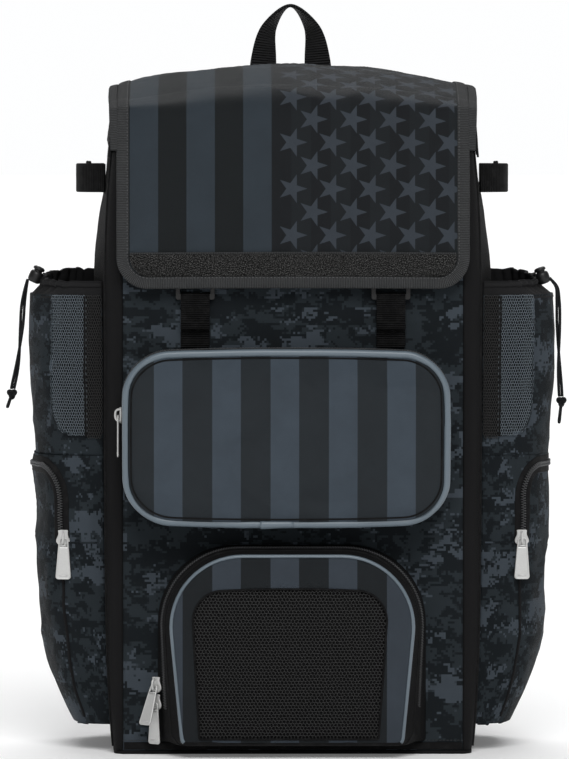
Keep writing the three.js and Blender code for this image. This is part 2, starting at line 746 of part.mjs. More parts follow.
// Zip pull: its bar along X through the origin, hanging down, its plate flat to Y
function pullGeometry() {
  const { length, neck, width, wall, eye, eyeLength } = PULL;
  const half = wall / 2;
  const tip = width / 2;
  const outline = [
    [-neck / 2 + 0.8, half],
    [-neck / 2, half - 0.8],
    [-neck / 2, -eyeLength],
    [-tip, -length + tip],
  ];
  for (let k = 1; k < 6; k++) {
    const angle = PI + (PI * k) / 6;
    outline.push([tip * cos(angle), -length + tip + tip * sin(angle)]);
  }
  outline.push([tip, -length + tip], [neck / 2, -eyeLength], [neck / 2, half - 0.8], [neck / 2 - 0.8, half]);
  const hole = [[-eye, -half], [-eye, -half - eyeLength], [eye, -half - eyeLength], [eye, -half]];
  const points = (list) => list.map(([a, b]) => new THREE.Vector2(a, b));
  return extruded(points(outline), wall, [points(hole)], "xz").translate(0, half, 0);
}
// A slider and its pull at a point of the cloth, turned about Z to face outwards
function addZip(name, at, turn, lean = 0) {
  const holder = new THREE.Group();
  holder.position.copy(at);
  holder.rotation.z = turn;
  group.add(holder);
  add(name + "_slider", sliderGeometry(), "metal", holder);
  const pull = add(name + "_pull", pullGeometry(), "metal", holder);
  pull.position.y = -PIVOT;
  pull.rotation.x = -lean;
}

function makeUpperPocket() {
  const half = PIPING / 2;
  const { left, right, corner, depth, puff } = UPPER;
  const [x0, x1] = [-PANEL_HALF + left + half, PANEL_HALF - right - half];
  const [z0, z1] = [UPPER_LOW + half, UPPER_TOP - half];
  const r = corner - half;
  const line = rounded([
    { x: x0, y: z0, r: r * 1.25 },
    { x: x1, y: z0, r },
    { x: x1, y: z1, r },
    { x: x0, y: z1, r },
  ]);
  const rim = -HALF_DEPTH - depth;
  const seam = rim + half + GAP;
  const outer = inset(line, -CLOTH / 2);
  add("upper_pocket_wall", pocketWall(outer, outer, (a, b) => frontY(a, b) - GAP, seam, CLOTH), "black");
  add("upper_pocket_piping", piping(line, () => rim, PIPING), "piping");
  const centre = new THREE.Vector2((x0 + x1) / 2, (z0 + z1) / 2);
  const swell = (a, b) => {
    const u = min(1, abs(a - centre.x) / (x1 - centre.x));
    const v = min(1, abs(b - centre.y) / (z1 - centre.y));
    return rim - CLOTH / 2 - puff * (1 - u * u) * (1 - v * v);
  };
  add("upper_pocket_face", face(inset(line, half + GAP), centre, swell, CLOTH, 3), "slate");
  const wallX = x0 - CLOTH / 2 - 1.2 - GAP;
  addZip("upper_pocket", V(wallX, -HALF_DEPTH - depth * 0.55, UPPER_TOP - UPPER_SLIDER_DROP), -PI / 2);
}

function makeLowerPocket() {
  const half = LOWER_PIPING / 2;
  const { x, low, high, width, corner, foot, depth, flare, footFlare, puff } = LOWER;
  const w = width / 2;
  const arch = (side, base, rise, top, r) =>
    rounded([
      { x: x - base, y: rise, r: foot, arc: 2 },
      { x: x + base, y: rise, r: foot, arc: 2 },
      { x: x + side, y: top, r, arc: 6 },
      { x: x - side, y: top, r, arc: 6 },
    ]);
  const base = arch(w, w, low, high, corner);
  const line = arch(w - flare * 0.75, w - footFlare, low + half, high - flare, corner - flare);
  const rim = -HALF_DEPTH - depth;
  const seam = rim + half + GAP;
  const front = inset(line, -CLOTH / 2);
  add("lower_pocket_wall", pocketWall(base, front, (a, b) => frontY(a, b) - GAP, seam, CLOTH), "black");
  add("lower_pocket_piping", piping(line, () => rim, LOWER_PIPING), "piping");
  const middle = new THREE.Vector2(x, (low + high) / 2);
  const swell = (a, b) => {
    const u = min(1, abs(a - middle.x) / w);
    const v = min(1, abs(b - middle.y) / ((high - low) / 2));
    return rim - CLOTH / 2 - puff * (1 - u * u) * (1 - v * v);
  };
  const footHalf = w - footFlare - WINDOW.side * 0.65;
  const headHalf = w - flare - WINDOW.side;
  const opening = rounded([
    { x: x - footHalf, y: low + WINDOW.foot, r: WINDOW.footCorner, arc: 2 },
    { x: x + footHalf, y: low + WINDOW.foot, r: WINDOW.footCorner, arc: 2 },
    { x: x + headHalf, y: high - flare - WINDOW.top, r: WINDOW.corner, arc: 6 },
    { x: x - headHalf, y: high - flare - WINDOW.top, r: WINDOW.corner, arc: 6 },
  ]);
  add("lower_pocket_face", face(inset(line, half + GAP), middle, swell, CLOTH, 2, opening), "slate");
  add("lower_pocket_mesh", face(inset(opening, GAP), middle, swell, CLOTH, 3), "mesh");
  const turn = (-LOWER_SLIDERS.turn * PI) / 180;
  const on = (rise) => V(x - w - GAP, -HALF_DEPTH - flare - 4 * GAP, low + rise);
  addZip("lower_pocket_a", on(LOWER_SLIDERS.a), turn, (PULL_LEAN * PI) / 180);
  addZip("lower_pocket_b", on(LOWER_SLIDERS.b), turn);
}

// The side pockets' plan as a smooth curve of shares
const planCurve = new THREE.CatmullRomCurve3(
  POCKET_PLAN.map((row) => V(row.out, row.along, 0)),
  false,
  "centripetal",
);
const POCKET_MIDDLE = (POCKET_FRONT + POCKET_REAR) / 2;
function pocketPoint(u, z, full, wall) {
  const share = planCurve.getPoint(u);
  const y = mix(POCKET_FRONT, POCKET_REAR, share.y);
  const shrink = 1 - (2 * wall) / (POCKET_REAR - POCKET_FRONT);
  const deep = mix(POCKET_MIDDLE, y, shrink);
  const out = share.x * full * POCKET_OUT;
  return V(sideX(deep, z) + GAP + out * (1 - wall / POCKET_OUT), deep, z);
}
// The depth of the pockets' front wall where it has come out to x
function pocketFrontAt(x, z, full) {
  let [low, high] = [0, 0.4];
  for (let k = 0; k < 30; k++) {
    const middle = (low + high) / 2;
    if (pocketPoint(middle, z, full, 0).x < x) low = middle;
    else high = middle;
  }
  return pocketPoint(low, z, full, 0).y;
}
// A pocket open to the body and at the top, or closed by a slanting top
function bowl(floor, top, rise, wall, roof) {
  const steps = 12;
  const rows = [{ up: 0, full: 0 }, ...rise];
  if (roof) rows.push({ up: 1, full: 0 });
  const build = (w) =>
    rows.map((row) =>
      Array.from({ length: steps + 1 }, (_, j) => {
        const lift = mix(floor + w, roof ? top - w : top, row.up);
        return pocketPoint(j / steps, lift, row.full, w);
      }),
    );
  return shell(build(0), build(wall));
}

function makeSidePockets() {
  const sleeve = solid(bowl(SLEEVE_FLOOR + GAP, SLEEVE_TOP, SLEEVE_RISE, SIDE_WALL, false));
  const reach = 2 * POCKET_OUT;
  const cutter = (shrink) => {
    const [x0, x1] = [BODY_WIDTH / 2 - reach, BODY_WIDTH / 2 + MESH.reach - shrink];
    const [z0, z1] = [SLEEVE_FLOOR + MESH.foot + shrink, SLEEVE_TOP + reach];
    const outline = rounded(
      [{ x: x0, y: z0, r: 1 }, { x: x1, y: z0, r: MESH.corner }, { x: x1, y: z1, r: 1 }, { x: x0, y: z1, r: 1 }],
      4,
      1,
    );
    return solid(extruded(outline, POCKET_MIDDLE - POCKET_FRONT + reach, [], "xz").translate(0, POCKET_MIDDLE, 0));
  };
  const shellPiece = fromSolid(sleeve.subtract(cutter(0)));
  const meshPiece = fromSolid(sleeve.intersect(cutter(GAP)));

  const pocket = solid(bowl(POCKET_FLOOR, SLEEVE_FLOOR, POCKET_RISE, SIDE_WALL, true));
  const doorCutter = (shrink) => {
    const [y0, y1] = [POCKET_FRONT + DOOR.front + shrink, POCKET_REAR - DOOR.rear - shrink];
    const [z0, z1] = [POCKET_FLOOR + DOOR.foot + shrink, SLEEVE_FLOOR - DOOR.head - shrink];
    const outline = rounded(
      [
        { x: y0, y: z0, r: 12 },
        { x: y1, y: z0, r: 12 },
        { x: y1, y: z1, r: DOOR.corner },
        { x: y0, y: z1, r: DOOR.corner },
      ],
      5,
      1,
    );
    return solid(extruded(outline, reach, [], "yz").translate(BODY_WIDTH / 2 + POCKET_OUT * 0.42, 0, 0));
  };
  const wallPiece = fromSolid(pocket.subtract(doorCutter(0)));
  const doorPiece = fromSolid(pocket.intersect(doorCutter(DOOR.gap)));

  const [sliderX, sliderZ] = [BODY_WIDTH / 2 + SIDE_SLIDER.out, SLEEVE_FLOOR - SIDE_SLIDER.drop];
  const seat = pocketFrontAt(sliderX - SLIDER.width / 2, sliderZ, POCKET_RISE[5].full);
  for (const { name, sign } of SIDES) {
    add("sleeve_" + name, mirrored(shellPiece, sign), "camo");
    add("sleeve_mesh_" + name, mirrored(meshPiece, sign), "mesh");
    add("side_pocket_" + name, mirrored(wallPiece, sign), "camo");
    add("side_pocket_door_" + name, mirrored(doorPiece, sign), "camo");
    addZip("side_pocket_" + name, V(sign * sliderX, seat - GAP, sliderZ), 0);
  }
}

// A point of a collar's outer or inner side: u along it, v up it
function collarPoint(u, v, lean, wall) {
  const gathered = ramp(0.28, 0.4, u) * ramp(1, 0.9, u);
  const height = mix(COLLAR.front, COLLAR.rear, ramp(0.3, 0.8, u));
  const full = SLEEVE_RISE[SLEEVE_RISE.length - 1].full * (1 - (lean / POCKET_OUT) * sin((PI / 2) * v));
  const p = pocketPoint(u, SLEEVE_TOP, full, wall);
  const wave = COLLAR.ripple * sin(2 * PI * COLLAR.gathers * u) * gathered * v;
  return V(p.x + wave * planCurve.getPoint(u).x, p.y, SLEEVE_TOP + GAP + v * height);
}

function makeCollars() {
  const steps = 26;
  for (const { name, sign, lean } of SIDES) {
    const at = (wall) => (u, v) => collarPoint(u, v, lean, wall);
    const solidCollar = shell(grid(2, steps, at(0)), grid(2, steps, at(COLLAR.wall)));
    add("sleeve_collar_" + name, mirrored(solidCollar, sign), "black");
  }
}

function makeDrawcords() {
  for (const { name, sign, lean, lockRise, proud, upright, cord, tail } of SIDES) {
    // The lock's side lies on the collar's ripples
    const under = (lockRise - (upright ? LOCK.height / 2 : LOCK.radius)) / COLLAR.front;
    const seat = collarPoint(LOCK.share, under, lean, 0);
    const lock = V(seat.x + proud + LOCK.radius + GAP, seat.y, SLEEVE_TOP + lockRise);
    const spot = (p) => V(sign * (lock.x + p.x), lock.y, lock.z + p.z);
    const barrel = new THREE.LatheGeometry(
      [[0, 0], [0.82, 0], [1, 0.12], [1, 0.62], [0.74, 0.66], [0.74, 0.94], [0.6, 1], [0, 1]].map(
        ([r, h]) => new THREE.Vector2(r * LOCK.radius, (h - 0.5) * LOCK.height),
      ),
      12,
    );
    if (upright) barrel.rotateX(PI / 2);
    barrel.translate(sign * lock.x, lock.y, lock.z);
    add("cord_lock_" + name, barrel, "plastic");
    const end = spot(cord[cord.length - 1]);
    [-1, 1].forEach((side, k) => {
      const points = cord.map((p, i) => {
        const apart = CORD * (0.58 + 0.32 * sin((PI * i) / (cord.length - 1)));
        return spot(p).add(V(sign * side * 0.12 * i, side * apart, 0));
      });
      const curve = new THREE.CatmullRomCurve3(points, false, "centripetal");
      const frames = framesAlong(curve, 12, () => V(0, 1, 0));
      add("drawcord_" + name + "_" + "ab"[k], sweep(frames, ring(CORD / 2, 8)), "cord");
    });
    const knot = new THREE.SphereGeometry(4.3, 7, 5).scale(1, 1.1, 0.92);
    const middle = end.clone().add(V(sign * 0.6, 0, -4.3));
    const last = spot(tail);
    const tailCurve = new THREE.CatmullRomCurve3([middle.clone(), middle.clone().lerp(last, 0.6), last]);
    const tailTube = sweep(framesAlong(tailCurve, 3, () => V(0, 1, 0)), ring(CORD * 0.62, 8));
    const joined = solid(knot.translate(middle.x, middle.y, middle.z)).add(solid(tailTube));
    add("cord_knot_" + name, fromSolid(joined), "cord");
  }
}

function makeBatStraps() {
  const { drop, height, out, length, wall } = BAT_STRAP;
  const low = BODY_HEIGHT - drop;
  const front = BAT_STRAP.front - HALF_DEPTH;
  const rear = front + length;
  const z = low + height / 2;
  const plan = [
    [0, 0],
    [0.1, 0.5],
    [0.22, 0.86],
    [0.38, 1],
    [0.6, 1],
    [0.78, 0.86],
    [0.9, 0.5],
    [1, 0],
  ];
  const curve = (reach, squeeze) =>
    new THREE.CatmullRomCurve3(
      plan.map(([k, o]) => {
        const y = mix(front + squeeze, rear - squeeze, k);
        return V(sideX(y, z) + GAP + 1.6 + o * reach, y, 0);
      }),
      false,
      "centripetal",
    );
  const [outside, inside] = [curve(out, 0), curve(out - wall, wall)];
  const row = (c, up) => Array.from({ length: 15 }, (_, k) => c.getPoint(k / 14).setZ(up));
  const made = shell(
    [row(outside, low), row(outside, low + height)],
    [row(inside, low), row(inside, low + height)],
  );
  for (const { name, sign } of SIDES) add("bat_strap_" + name, mirrored(made, sign), "black");
}

function makeShoulderStraps() {
  const { sewn, width, wall, out, splay } = SHOULDER;
  const x = SHOULDER.x * BODY_WIDTH;
  const top = BODY_HEIGHT - sewn;
  const end = SHOULDER.end * BODY_HEIGHT;
  const foot = V(SHOULDER_FOOT.x * BODY_WIDTH, 0, SHOULDER_FOOT.z * BODY_HEIGHT);
  const y = (z) => backY(x, z) + GAP;
  const pad = [
    V(x, y(top), top),
    V(x + splay * 0.1, y(top) + out * 0.35, mix(top, end, 0.14)),
    V(x + splay * 0.35, y(top) + out * 0.85, mix(top, end, 0.42)),
    V(x + splay * 0.7, y(top) + out * 0.95, mix(top, end, 0.72)),
    V(x + splay, y(top) + out * 0.78, end),
  ];
  const section_ = [
    [-0.5, 0.25],
    [-0.44, 0],
    [0.44, 0],
    [0.5, 0.25],
    [0.5, 0.75],
    [0.44, 1],
    [-0.44, 1],
    [-0.5, 0.75],
  ].map(([a, b]) => [a * width, b * wall]);
  const curve = new THREE.CatmullRomCurve3(pad, false, "centripetal");
  const made = sweep(framesAlong(curve, 10, () => V(0, 1, 0)), section_);
  const last = pad[pad.length - 1];
  const bar = V(last.x, last.y + wall * 0.3, last.z - 2.2 - BUCKLE.height / 2);
  const web = [
    bar.clone().add(V(0, 0, -BUCKLE.height / 2 - GAP)),
    bar.clone().add(V(0, 0, -BUCKLE.height / 2 - 12)),
    V(mix(bar.x, foot.x, 0.5), mix(bar.y, y(foot.z), 0.55), mix(bar.z, foot.z, 0.5)),
    V(foot.x, y(foot.z) + WEBBING_WALL, foot.z),
  ];
  const webCurve = new THREE.CatmullRomCurve3(web, false, "centripetal");
  const webbing = sweep(framesAlong(webCurve, 8, () => V(0, 1, 0)), strip(WEBBING, WEBBING_WALL));
  const box = (w, h) =>
    rounded([{ x: -w, y: -h, r: 2 }, { x: w, y: -h, r: 2 }, { x: w, y: h, r: 2 }, { x: -w, y: h, r: 2 }], 2, 1);
  const frame = extruded(box(BUCKLE.width / 2, BUCKLE.height / 2), 5, [box(WEBBING / 2, 3)], "xz");
  frame.translate(bar.x, bar.y + 2.5, bar.z);
  for (const { name, sign } of SIDES) {
    add("shoulder_strap_" + name, mirrored(made, sign), "black");
    add("strap_webbing_" + name, mirrored(webbing, sign), "black");
    add("strap_adjuster_" + name, mirrored(frame, sign), "plastic");
  }
}

makeBody();
makeLid();
makeLidStraps();
makeHandle();
makeUpperPocket();
makeLowerPocket();
makeSidePockets();
makeCollars();
makeDrawcords();
makeBatStraps();
makeShoulderStraps();

export default group;
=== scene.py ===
# The looks of a tall backpack for a baseball player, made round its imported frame.
# Lengths are millimetres until a mesh is made, +Z is up and the front is towards -Y.
import math

import bmesh
import bpy
import numpy as np
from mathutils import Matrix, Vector


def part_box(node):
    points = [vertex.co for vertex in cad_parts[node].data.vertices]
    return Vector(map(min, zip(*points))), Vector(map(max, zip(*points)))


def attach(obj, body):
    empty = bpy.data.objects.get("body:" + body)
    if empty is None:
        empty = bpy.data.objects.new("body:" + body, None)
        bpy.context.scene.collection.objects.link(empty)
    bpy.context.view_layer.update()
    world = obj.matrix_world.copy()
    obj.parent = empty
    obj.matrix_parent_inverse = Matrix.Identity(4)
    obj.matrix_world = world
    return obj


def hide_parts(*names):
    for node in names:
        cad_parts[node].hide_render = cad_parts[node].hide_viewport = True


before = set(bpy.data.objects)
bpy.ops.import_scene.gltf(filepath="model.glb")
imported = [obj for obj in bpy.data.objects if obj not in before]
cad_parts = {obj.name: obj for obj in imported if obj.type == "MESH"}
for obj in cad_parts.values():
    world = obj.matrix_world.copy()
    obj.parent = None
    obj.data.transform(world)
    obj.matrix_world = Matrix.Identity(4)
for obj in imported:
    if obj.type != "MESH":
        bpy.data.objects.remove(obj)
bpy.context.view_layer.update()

MM = 0.001
SCENE = bpy.context.scene

# Main sizes, the same as the frame's
BODY_WIDTH = 330
BODY_DEPTH = 230
BODY_HEIGHT = 574
BAND = 15
GAP = 0.4
SEAT = 3.4
HALF_DEPTH = BODY_DEPTH / 2
PANEL_HALF = BODY_WIDTH / 2 - BAND
FRONT_BULGE = 3
BACK_BULGE = 2
GUSSET_DIP = 12
LID_CREST = 607
LID_DROP = 196
LID_CROWN = 17
LID_HALF = 155
LID_WALL = 3
BINDING = 11
LID_CORNER = 28
LOOP_STRIP = 20.5
EAR_REACH = 6
EAR_DROP = 76
EAR_BACK_DROP = 42
POCKET_OUT = 60
POCKET_FRONT = -88
POCKET_REAR = 80
POCKET_FLOOR = 24
SLEEVE_FLOOR = 262
SLEEVE_TOP = 404
WEBBING = 25.4
SIDES = [("left", -1), ("right", 1)]
CLOTH_WALL = 1.6
GUSSET_WALL = 2.4
EAR_WALL = 2
EAR_STAND = 2.4
BACK_WALL = 6
BASE_WALL = 3

# Half widths of the body at each height, as shares of half its width: height, edge, side
BODY_SECTIONS = [
    (0, 0.958, 0.97), (0.04, 0.97, 0.985), (0.16, 0.99, 1.02), (0.4, 1, 1.05), (0.6, 1, 1.066),
    (0.745, 1, 1.078), (0.86, 0.985, 1.018), (0.93, 0.965, 0.99), (1, 0.95, 0.956),
]
# The lid's section: depth as a share of half the body's depth, drop as a share of the lid's drop
LID_PROFILE = [
    (0.965, 0.085), (0.87, 0.03), (0.66, 0.006), (0.3, 0), (-0.2, 0.003), (-0.62, 0.02),
    (-0.88, 0.062), (-1.01, 0.135), (-1.06, 0.24), (-1.085, 0.45), (-1.105, 0.72), (-1.125, 1),
]
# The side pockets' plan: share out from the body, share along its depth
POCKET_PLAN = [
    (0, 0), (0.3, 0.012), (0.6, 0.045), (0.83, 0.125), (0.96, 0.27), (1, 0.45),
    (0.985, 0.63), (0.9, 0.81), (0.68, 0.93), (0.35, 0.985), (0, 1),
]
# How full the lower side pocket and the sleeve stand: share of the height, share of the plan
POCKET_RISE = [(0, 0.56), (0.045, 0.64), (0.14, 0.8), (0.29, 0.91), (0.5, 0.94), (0.8, 0.95), (1, 0.93)]
SLEEVE_RISE = [(0, 0.92), (0.25, 0.94), (0.6, 0.96), (1, 0.93)]


# Numbers and curves
NOISE_CELLS = 61
ARC_STEPS = 16


def mix(a, b, t):
    return a + (b - a) * t


def ramp(a, b, x):
    return np.clip((x - a) / (b - a), 0, 1)


def soft(a, b, x):
    t = ramp(a, b, x)
    return t * t * (3 - 2 * t)


def unit(v):
    return v / np.maximum(np.linalg.norm(v, axis=-1, keepdims=True), 1e-9)


def spline(points, steps=12):
    """Points along the smooth centripetal curve through the given ones."""
    p = np.asarray(points, float)
    q = np.vstack([2 * p[0] - p[1], p, 2 * p[-1] - p[-2]])
    t = np.linspace(0, 1, steps, endpoint=False)[:, None]
    out = []
    for a, b, c, d in zip(q, q[1:], q[2:], q[3:]):
        ta, tb, tc = (max(np.linalg.norm(s), 1e-8) ** 0.5 for s in (b - a, c - b, d - c))
        start = ((b - a) / ta - (c - a) / (ta + tb) + (c - b) / tb) * tb
        end = ((c - b) / tb - (d - b) / (tb + tc) + (d - c) / tc) * tb
        square = 3 * (c - b) - 2 * start - end
        cube = 2 * (b - c) + start + end
        out.append(b + start * t + square * t**2 + cube * t**3)
    return np.vstack([*out, p[-1:]])


def lengths(p):
    return np.concatenate([[0], np.cumsum(np.linalg.norm(np.diff(p, axis=0), axis=1))])


def resample(p, count):
    """The same line as so many points, evenly spaced."""
    s = lengths(p)
    at = np.linspace(0, s[-1], count)
    return np.stack([np.interp(at, s, p[:, k]) for k in range(p.shape[1])], -1)


def table(rows, column, x):
    """A smooth value from a table whose first column is x."""
    s = spline(rows, 8)
    return np.interp(x, s[:, 0], s[:, column])


def noise(x, y, cell, seed):
    """Smooth noise from -1 to 1 with cells of a size."""
    r = np.random.default_rng(seed).uniform(-1, 1, (NOISE_CELLS, NOISE_CELLS))
    u, v = np.broadcast_arrays(np.asarray(x, float) / cell, np.asarray(y, float) / cell)
    i, j = np.floor(u).astype(int), np.floor(v).astype(int)
    a, b = u - i, v - j
    a, b = a * a * (3 - 2 * a), b * b * (3 - 2 * b)
    pick = lambda p, q: r[(i + p) % NOISE_CELLS, (j + q) % NOISE_CELLS]
    return mix(mix(pick(0, 0), pick(1, 0), a), mix(pick(0, 1), pick(1, 1), a), b)


def rumple(x, y, cell, seed):
    """Soft dents with finer ones on them."""
    fine = 0.45 * noise(x, y, cell * 0.47, seed + 1)
    finest = 0.2 * noise(x, y, cell * 0.21, seed + 2)
    return noise(x, y, cell, seed) + fine + finest


def crease(x, y, cell, seed):
    """Thin raised folds, from 0 to 1."""
    level = noise(x, y, cell, seed) + 0.3 * noise(x, y, cell * 0.4, seed + 5)
    return (1 - np.abs(level)).clip(0, 1) ** 4


def pairs(across, down):
    """A grid of the pairs that two lists of numbers make."""
    return np.stack(np.meshgrid(across, down), -1)


def rounded(corners, count):
    """A closed outline of so many points from corners (x, y, radius), from the middle of its first side."""
    line = []
    n = len(corners)
    for i, (x, y, r) in enumerate(corners):
        p = np.array([x, y], float)
        a = unit(np.array(corners[i - 1][:2], float) - p)
        b = unit(np.array(corners[(i + 1) % n][:2], float) - p)
        half = math.acos(float(a @ b)) / 2
        centre = p + unit(a + b) * r / math.sin(half)
        start = p + a * r / math.tan(half) - centre
        end = p + b * r / math.tan(half) - centre
        turn = math.copysign(math.pi - 2 * half, start[0] * end[1] - start[1] * end[0])
        for k in range(ARC_STEPS + 1):
            c, s = math.cos(turn * k / ARC_STEPS), math.sin(turn * k / ARC_STEPS)
            line.append(centre + [start[0] * c - start[1] * s, start[0] * s + start[1] * c])
    line = np.array(line)
    middle = (line[ARC_STEPS] + line[ARC_STEPS + 1]) / 2
    line = np.vstack([middle[None], line[ARC_STEPS + 1 :], line[: ARC_STEPS + 1], middle[None]])
    return resample(line, count + 1)[:-1]


def grown(outline, distance):
    """A closed outline moved outwards."""
    ahead = unit(np.roll(outline, -1, 0) - np.roll(outline, 1, 0))
    out = np.stack([ahead[:, 1], -ahead[:, 0]], -1)
    centre = outline.mean(0)
    if ((outline - centre) * out).sum() < 0:
        out = -out
    return outline + out * distance


# Meshes
def finish_mesh(name, points, faces, uv=None):
    mesh = bpy.data.meshes.new(name)
    mesh.from_pydata((np.asarray(points, float).reshape(-1, 3) * MM).tolist(), [], faces)
    if uv is not None:
        layer = mesh.uv_layers.new(name="cloth")
        layer.data.foreach_set("uv", (np.asarray(uv, float) * MM).ravel())
    mesh.polygons.foreach_set("use_smooth", [True] * len(mesh.polygons))
    mesh.update()
    obj = bpy.data.objects.new(name, mesh)
    SCENE.collection.objects.link(obj)
    return obj


def corners_of(grid):
    """The four corners of each cell of a grid, in order round it."""
    return np.stack([grid[:-1, :-1], grid[:-1, 1:], grid[1:, 1:], grid[1:, :-1]], 2)


def quads_of(rows, columns, wrap):
    index = np.arange(rows * columns).reshape(rows, columns)
    if wrap:
        index = np.hstack([index, index[:, :1]])
    return corners_of(index).reshape(-1, 4)


def outwards(points, quads, cells, inside):
    """The faces and their cloth coordinates, turned to look away from the points inside."""
    v = points.reshape(-1, 3)[quads]
    normal = np.cross(v[:, 2] - v[:, 0], v[:, 3] - v[:, 1])
    if (normal * (v.mean(1) - inside)).sum() < 0:
        return quads[:, ::-1], cells[:, ::-1]
    return quads, cells


def grid_mesh(name, p, uv=None, inside=None, wrap=False):
    """A mesh from a grid of points. Its faces look away from the point inside."""
    rows, columns = p.shape[:2]
    quads = quads_of(rows, columns, wrap)
    if uv is None:
        over = np.linalg.norm(np.diff(p, axis=1), axis=2).mean(0)
        up = np.linalg.norm(np.diff(p, axis=0), axis=2).mean(1)
        s = np.concatenate([[0], np.cumsum(over)])
        if wrap:
            s = np.append(s, s[-1] + np.linalg.norm(p[:, 0] - p[:, -1], axis=1).mean())
        uv = pairs(s, np.concatenate([[0], np.cumsum(up)]))
    cells = corners_of(uv).reshape(-1, 4, 2)
    if inside is not None:
        quads, cells = outwards(p, quads, cells, np.asarray(inside, float))
    return finish_mesh(name, p, quads.tolist(), cells)


def tube(name, line, radius, sides=10, closed=False, up=(0, -1, 0)):
    """A round tube along a line of points. The radius may be a number for each point."""
    line = np.asarray(line, float)
    ahead = np.roll(line, -1, 0) - np.roll(line, 1, 0) if closed else np.gradient(line, axis=0)
    ahead = unit(ahead)
    side = unit(np.cross(ahead, np.broadcast_to(np.asarray(up, float), ahead.shape)))
    over = np.cross(side, ahead)
    angle = np.linspace(0, 2 * np.pi, sides, endpoint=False)
    r = np.broadcast_to(np.asarray(radius, float), (len(line),))[:, None, None]
    round_it = side[:, None] * np.cos(angle)[:, None] + over[:, None] * np.sin(angle)[:, None]
    p = (line[:, None] + r * round_it).transpose(1, 0, 2)
    s = lengths(line)
    if closed:
        s = np.append(s, s[-1] + np.linalg.norm(line[0] - line[-1]))
    count = len(line)
    quads = quads_of(sides + 1, count, closed) % (sides * count)
    girth = 2 * np.pi * float(np.mean(radius))
    cells = corners_of(pairs(s, np.linspace(0, girth, sides + 1))).reshape(-1, 4, 2)
    middle = np.repeat(line[None], sides, 0)[:, : count - (not closed)].reshape(-1, 3)
    quads, cells = outwards(p, quads, cells, middle)
    faces, loops = quads.tolist(), cells.reshape(-1, 2)
    if not closed:
        faces.append([k * count for k in range(sides)])
        faces.append([k * count + count - 1 for k in range(sides)][::-1])
        loops = np.vstack([loops, np.zeros((2 * sides, 2))])
    return finish_mesh(name, p, faces, loops)


class Skin:
    """A surface as a function of two parameters. Its faces look away from the point inside."""

    def __init__(self, at, inside, step=(0.5, 0.5)):
        self.at = at
        self.inside = np.asarray(inside, float)
        self.step = step

    def slopes(self, u, v):
        a, b = self.step
        return (
            (self.at(u + a, v) - self.at(u - a, v)) / (2 * a),
            (self.at(u, v + b) - self.at(u, v - b)) / (2 * b),
        )

    def out(self, u, v):
        du, dv = self.slopes(u, v)
        n = unit(np.cross(du, dv))
        way = np.sign(((self.at(u, v) - self.inside) * n).sum(-1, keepdims=True))
        return n * way

    def frames(self, u, v):
        """Points on a line of parameters, with the directions ahead, to the side and out."""
        p = self.at(u, v)
        out = self.out(u, v)
        ahead = unit(np.gradient(p, axis=0))
        side = unit(np.cross(out, ahead))
        return p, ahead, side, out

    def beside(self, u, v, across):
        """The parameters of the points that lie so far beside a line on the surface."""
        side = self.frames(u, v)[2]
        du, dv = self.slopes(u, v)
        a, b, c = (du * du).sum(-1), (du * dv).sum(-1), (dv * dv).sum(-1)
        s, t = (side * du).sum(-1), (side * dv).sum(-1)
        det = np.maximum(a * c - b * b, 1e-9)
        return u + across * (c * s - b * t) / det, v + across * (a * t - b * s) / det

    def lifted(self, u, v, high):
        """Points so far over the surface."""
        return self.at(u, v) + self.out(u, v) * high

    def sweep(self, u, v, width, section):
        """A section carried along a line: its rows are a share of the width and a height."""
        columns = []
        for across, high in section:
            columns.append(self.lifted(*self.beside(u, v, across * width), high))
        return np.stack(columns, 1)

    def mesh(self, name, u, v, uv=None):
        return grid_mesh(name, self.at(*np.meshgrid(u, v)), uv, self.inside)


def even(a, b, size):
    """Numbers from a to b, about so far apart."""
    return np.linspace(a, b, max(2, int(round(abs(b - a) / size)) + 1))


def cut_size(p):
    """The size in metres that cloth had before it was gathered into a grid of points."""
    steps = [np.linalg.norm(np.diff(p, axis=axis), axis=-1).sum(axis) for axis in (1, 0)]
    return tuple(round(float(np.median(step)) * MM, 4) for step in steps)


def along_skin(skin, u, v, pitch):
    """Parameters on a line over the surface, so far apart."""
    u, v = np.asarray(u, float), np.asarray(v, float)
    s = lengths(skin.at(u, v))
    at = even(0, s[-1], pitch)
    return np.interp(at, s, u), np.interp(at, s, v)


FAR_INSIDE = 500  # how far under a band the point lies that its faces look away from


def band_on(name, skin, u, v, width, height, pitch=2.0):
    """A flat band along a line on the surface, with rounded edges."""
    u, v = along_skin(skin, u, v, pitch)
    section = [(-0.5, -0.6), (-0.5, height * 0.5), (-0.46, height * 0.9), (-0.25, height), (0, height + 0.25)]
    section += [(-across, high) for across, high in section[-2::-1]]
    p = skin.sweep(u, v, width, section)
    uv = pairs([across * width for across, _ in section], lengths(skin.at(u, v)))
    return grid_mesh(name, p, uv, p.mean(1).mean(0) - skin.out(u, v).mean(0) * FAR_INSIDE)


BLOCK_FACES = [[0, 1, 2, 3], [7, 6, 5, 4], [0, 4, 5, 1], [1, 5, 6, 2], [2, 6, 7, 3], [3, 7, 4, 0]]


def blocks(name, p, ahead, side, out, size, taper=0.6):
    """Many small blocks as one mesh, each of a size ahead, across and high."""
    a, b, c = (s / 2 for s in size)
    corners = []
    for h, k in ((-c, 1.0), (c, taper)):
        corners += [(-a * k, -b * k, h), (a * k, -b * k, h), (a * k, b * k, h), (-a * k, b * k, h)]
    points = np.stack([p + ahead * x + side * y + out * z for x, y, z in corners], 1)
    faces = [[8 * i + k for k in face[::-1]] for i in range(len(p)) for face in BLOCK_FACES]
    return finish_mesh(name, points, faces, np.zeros((len(faces) * 4, 2)))


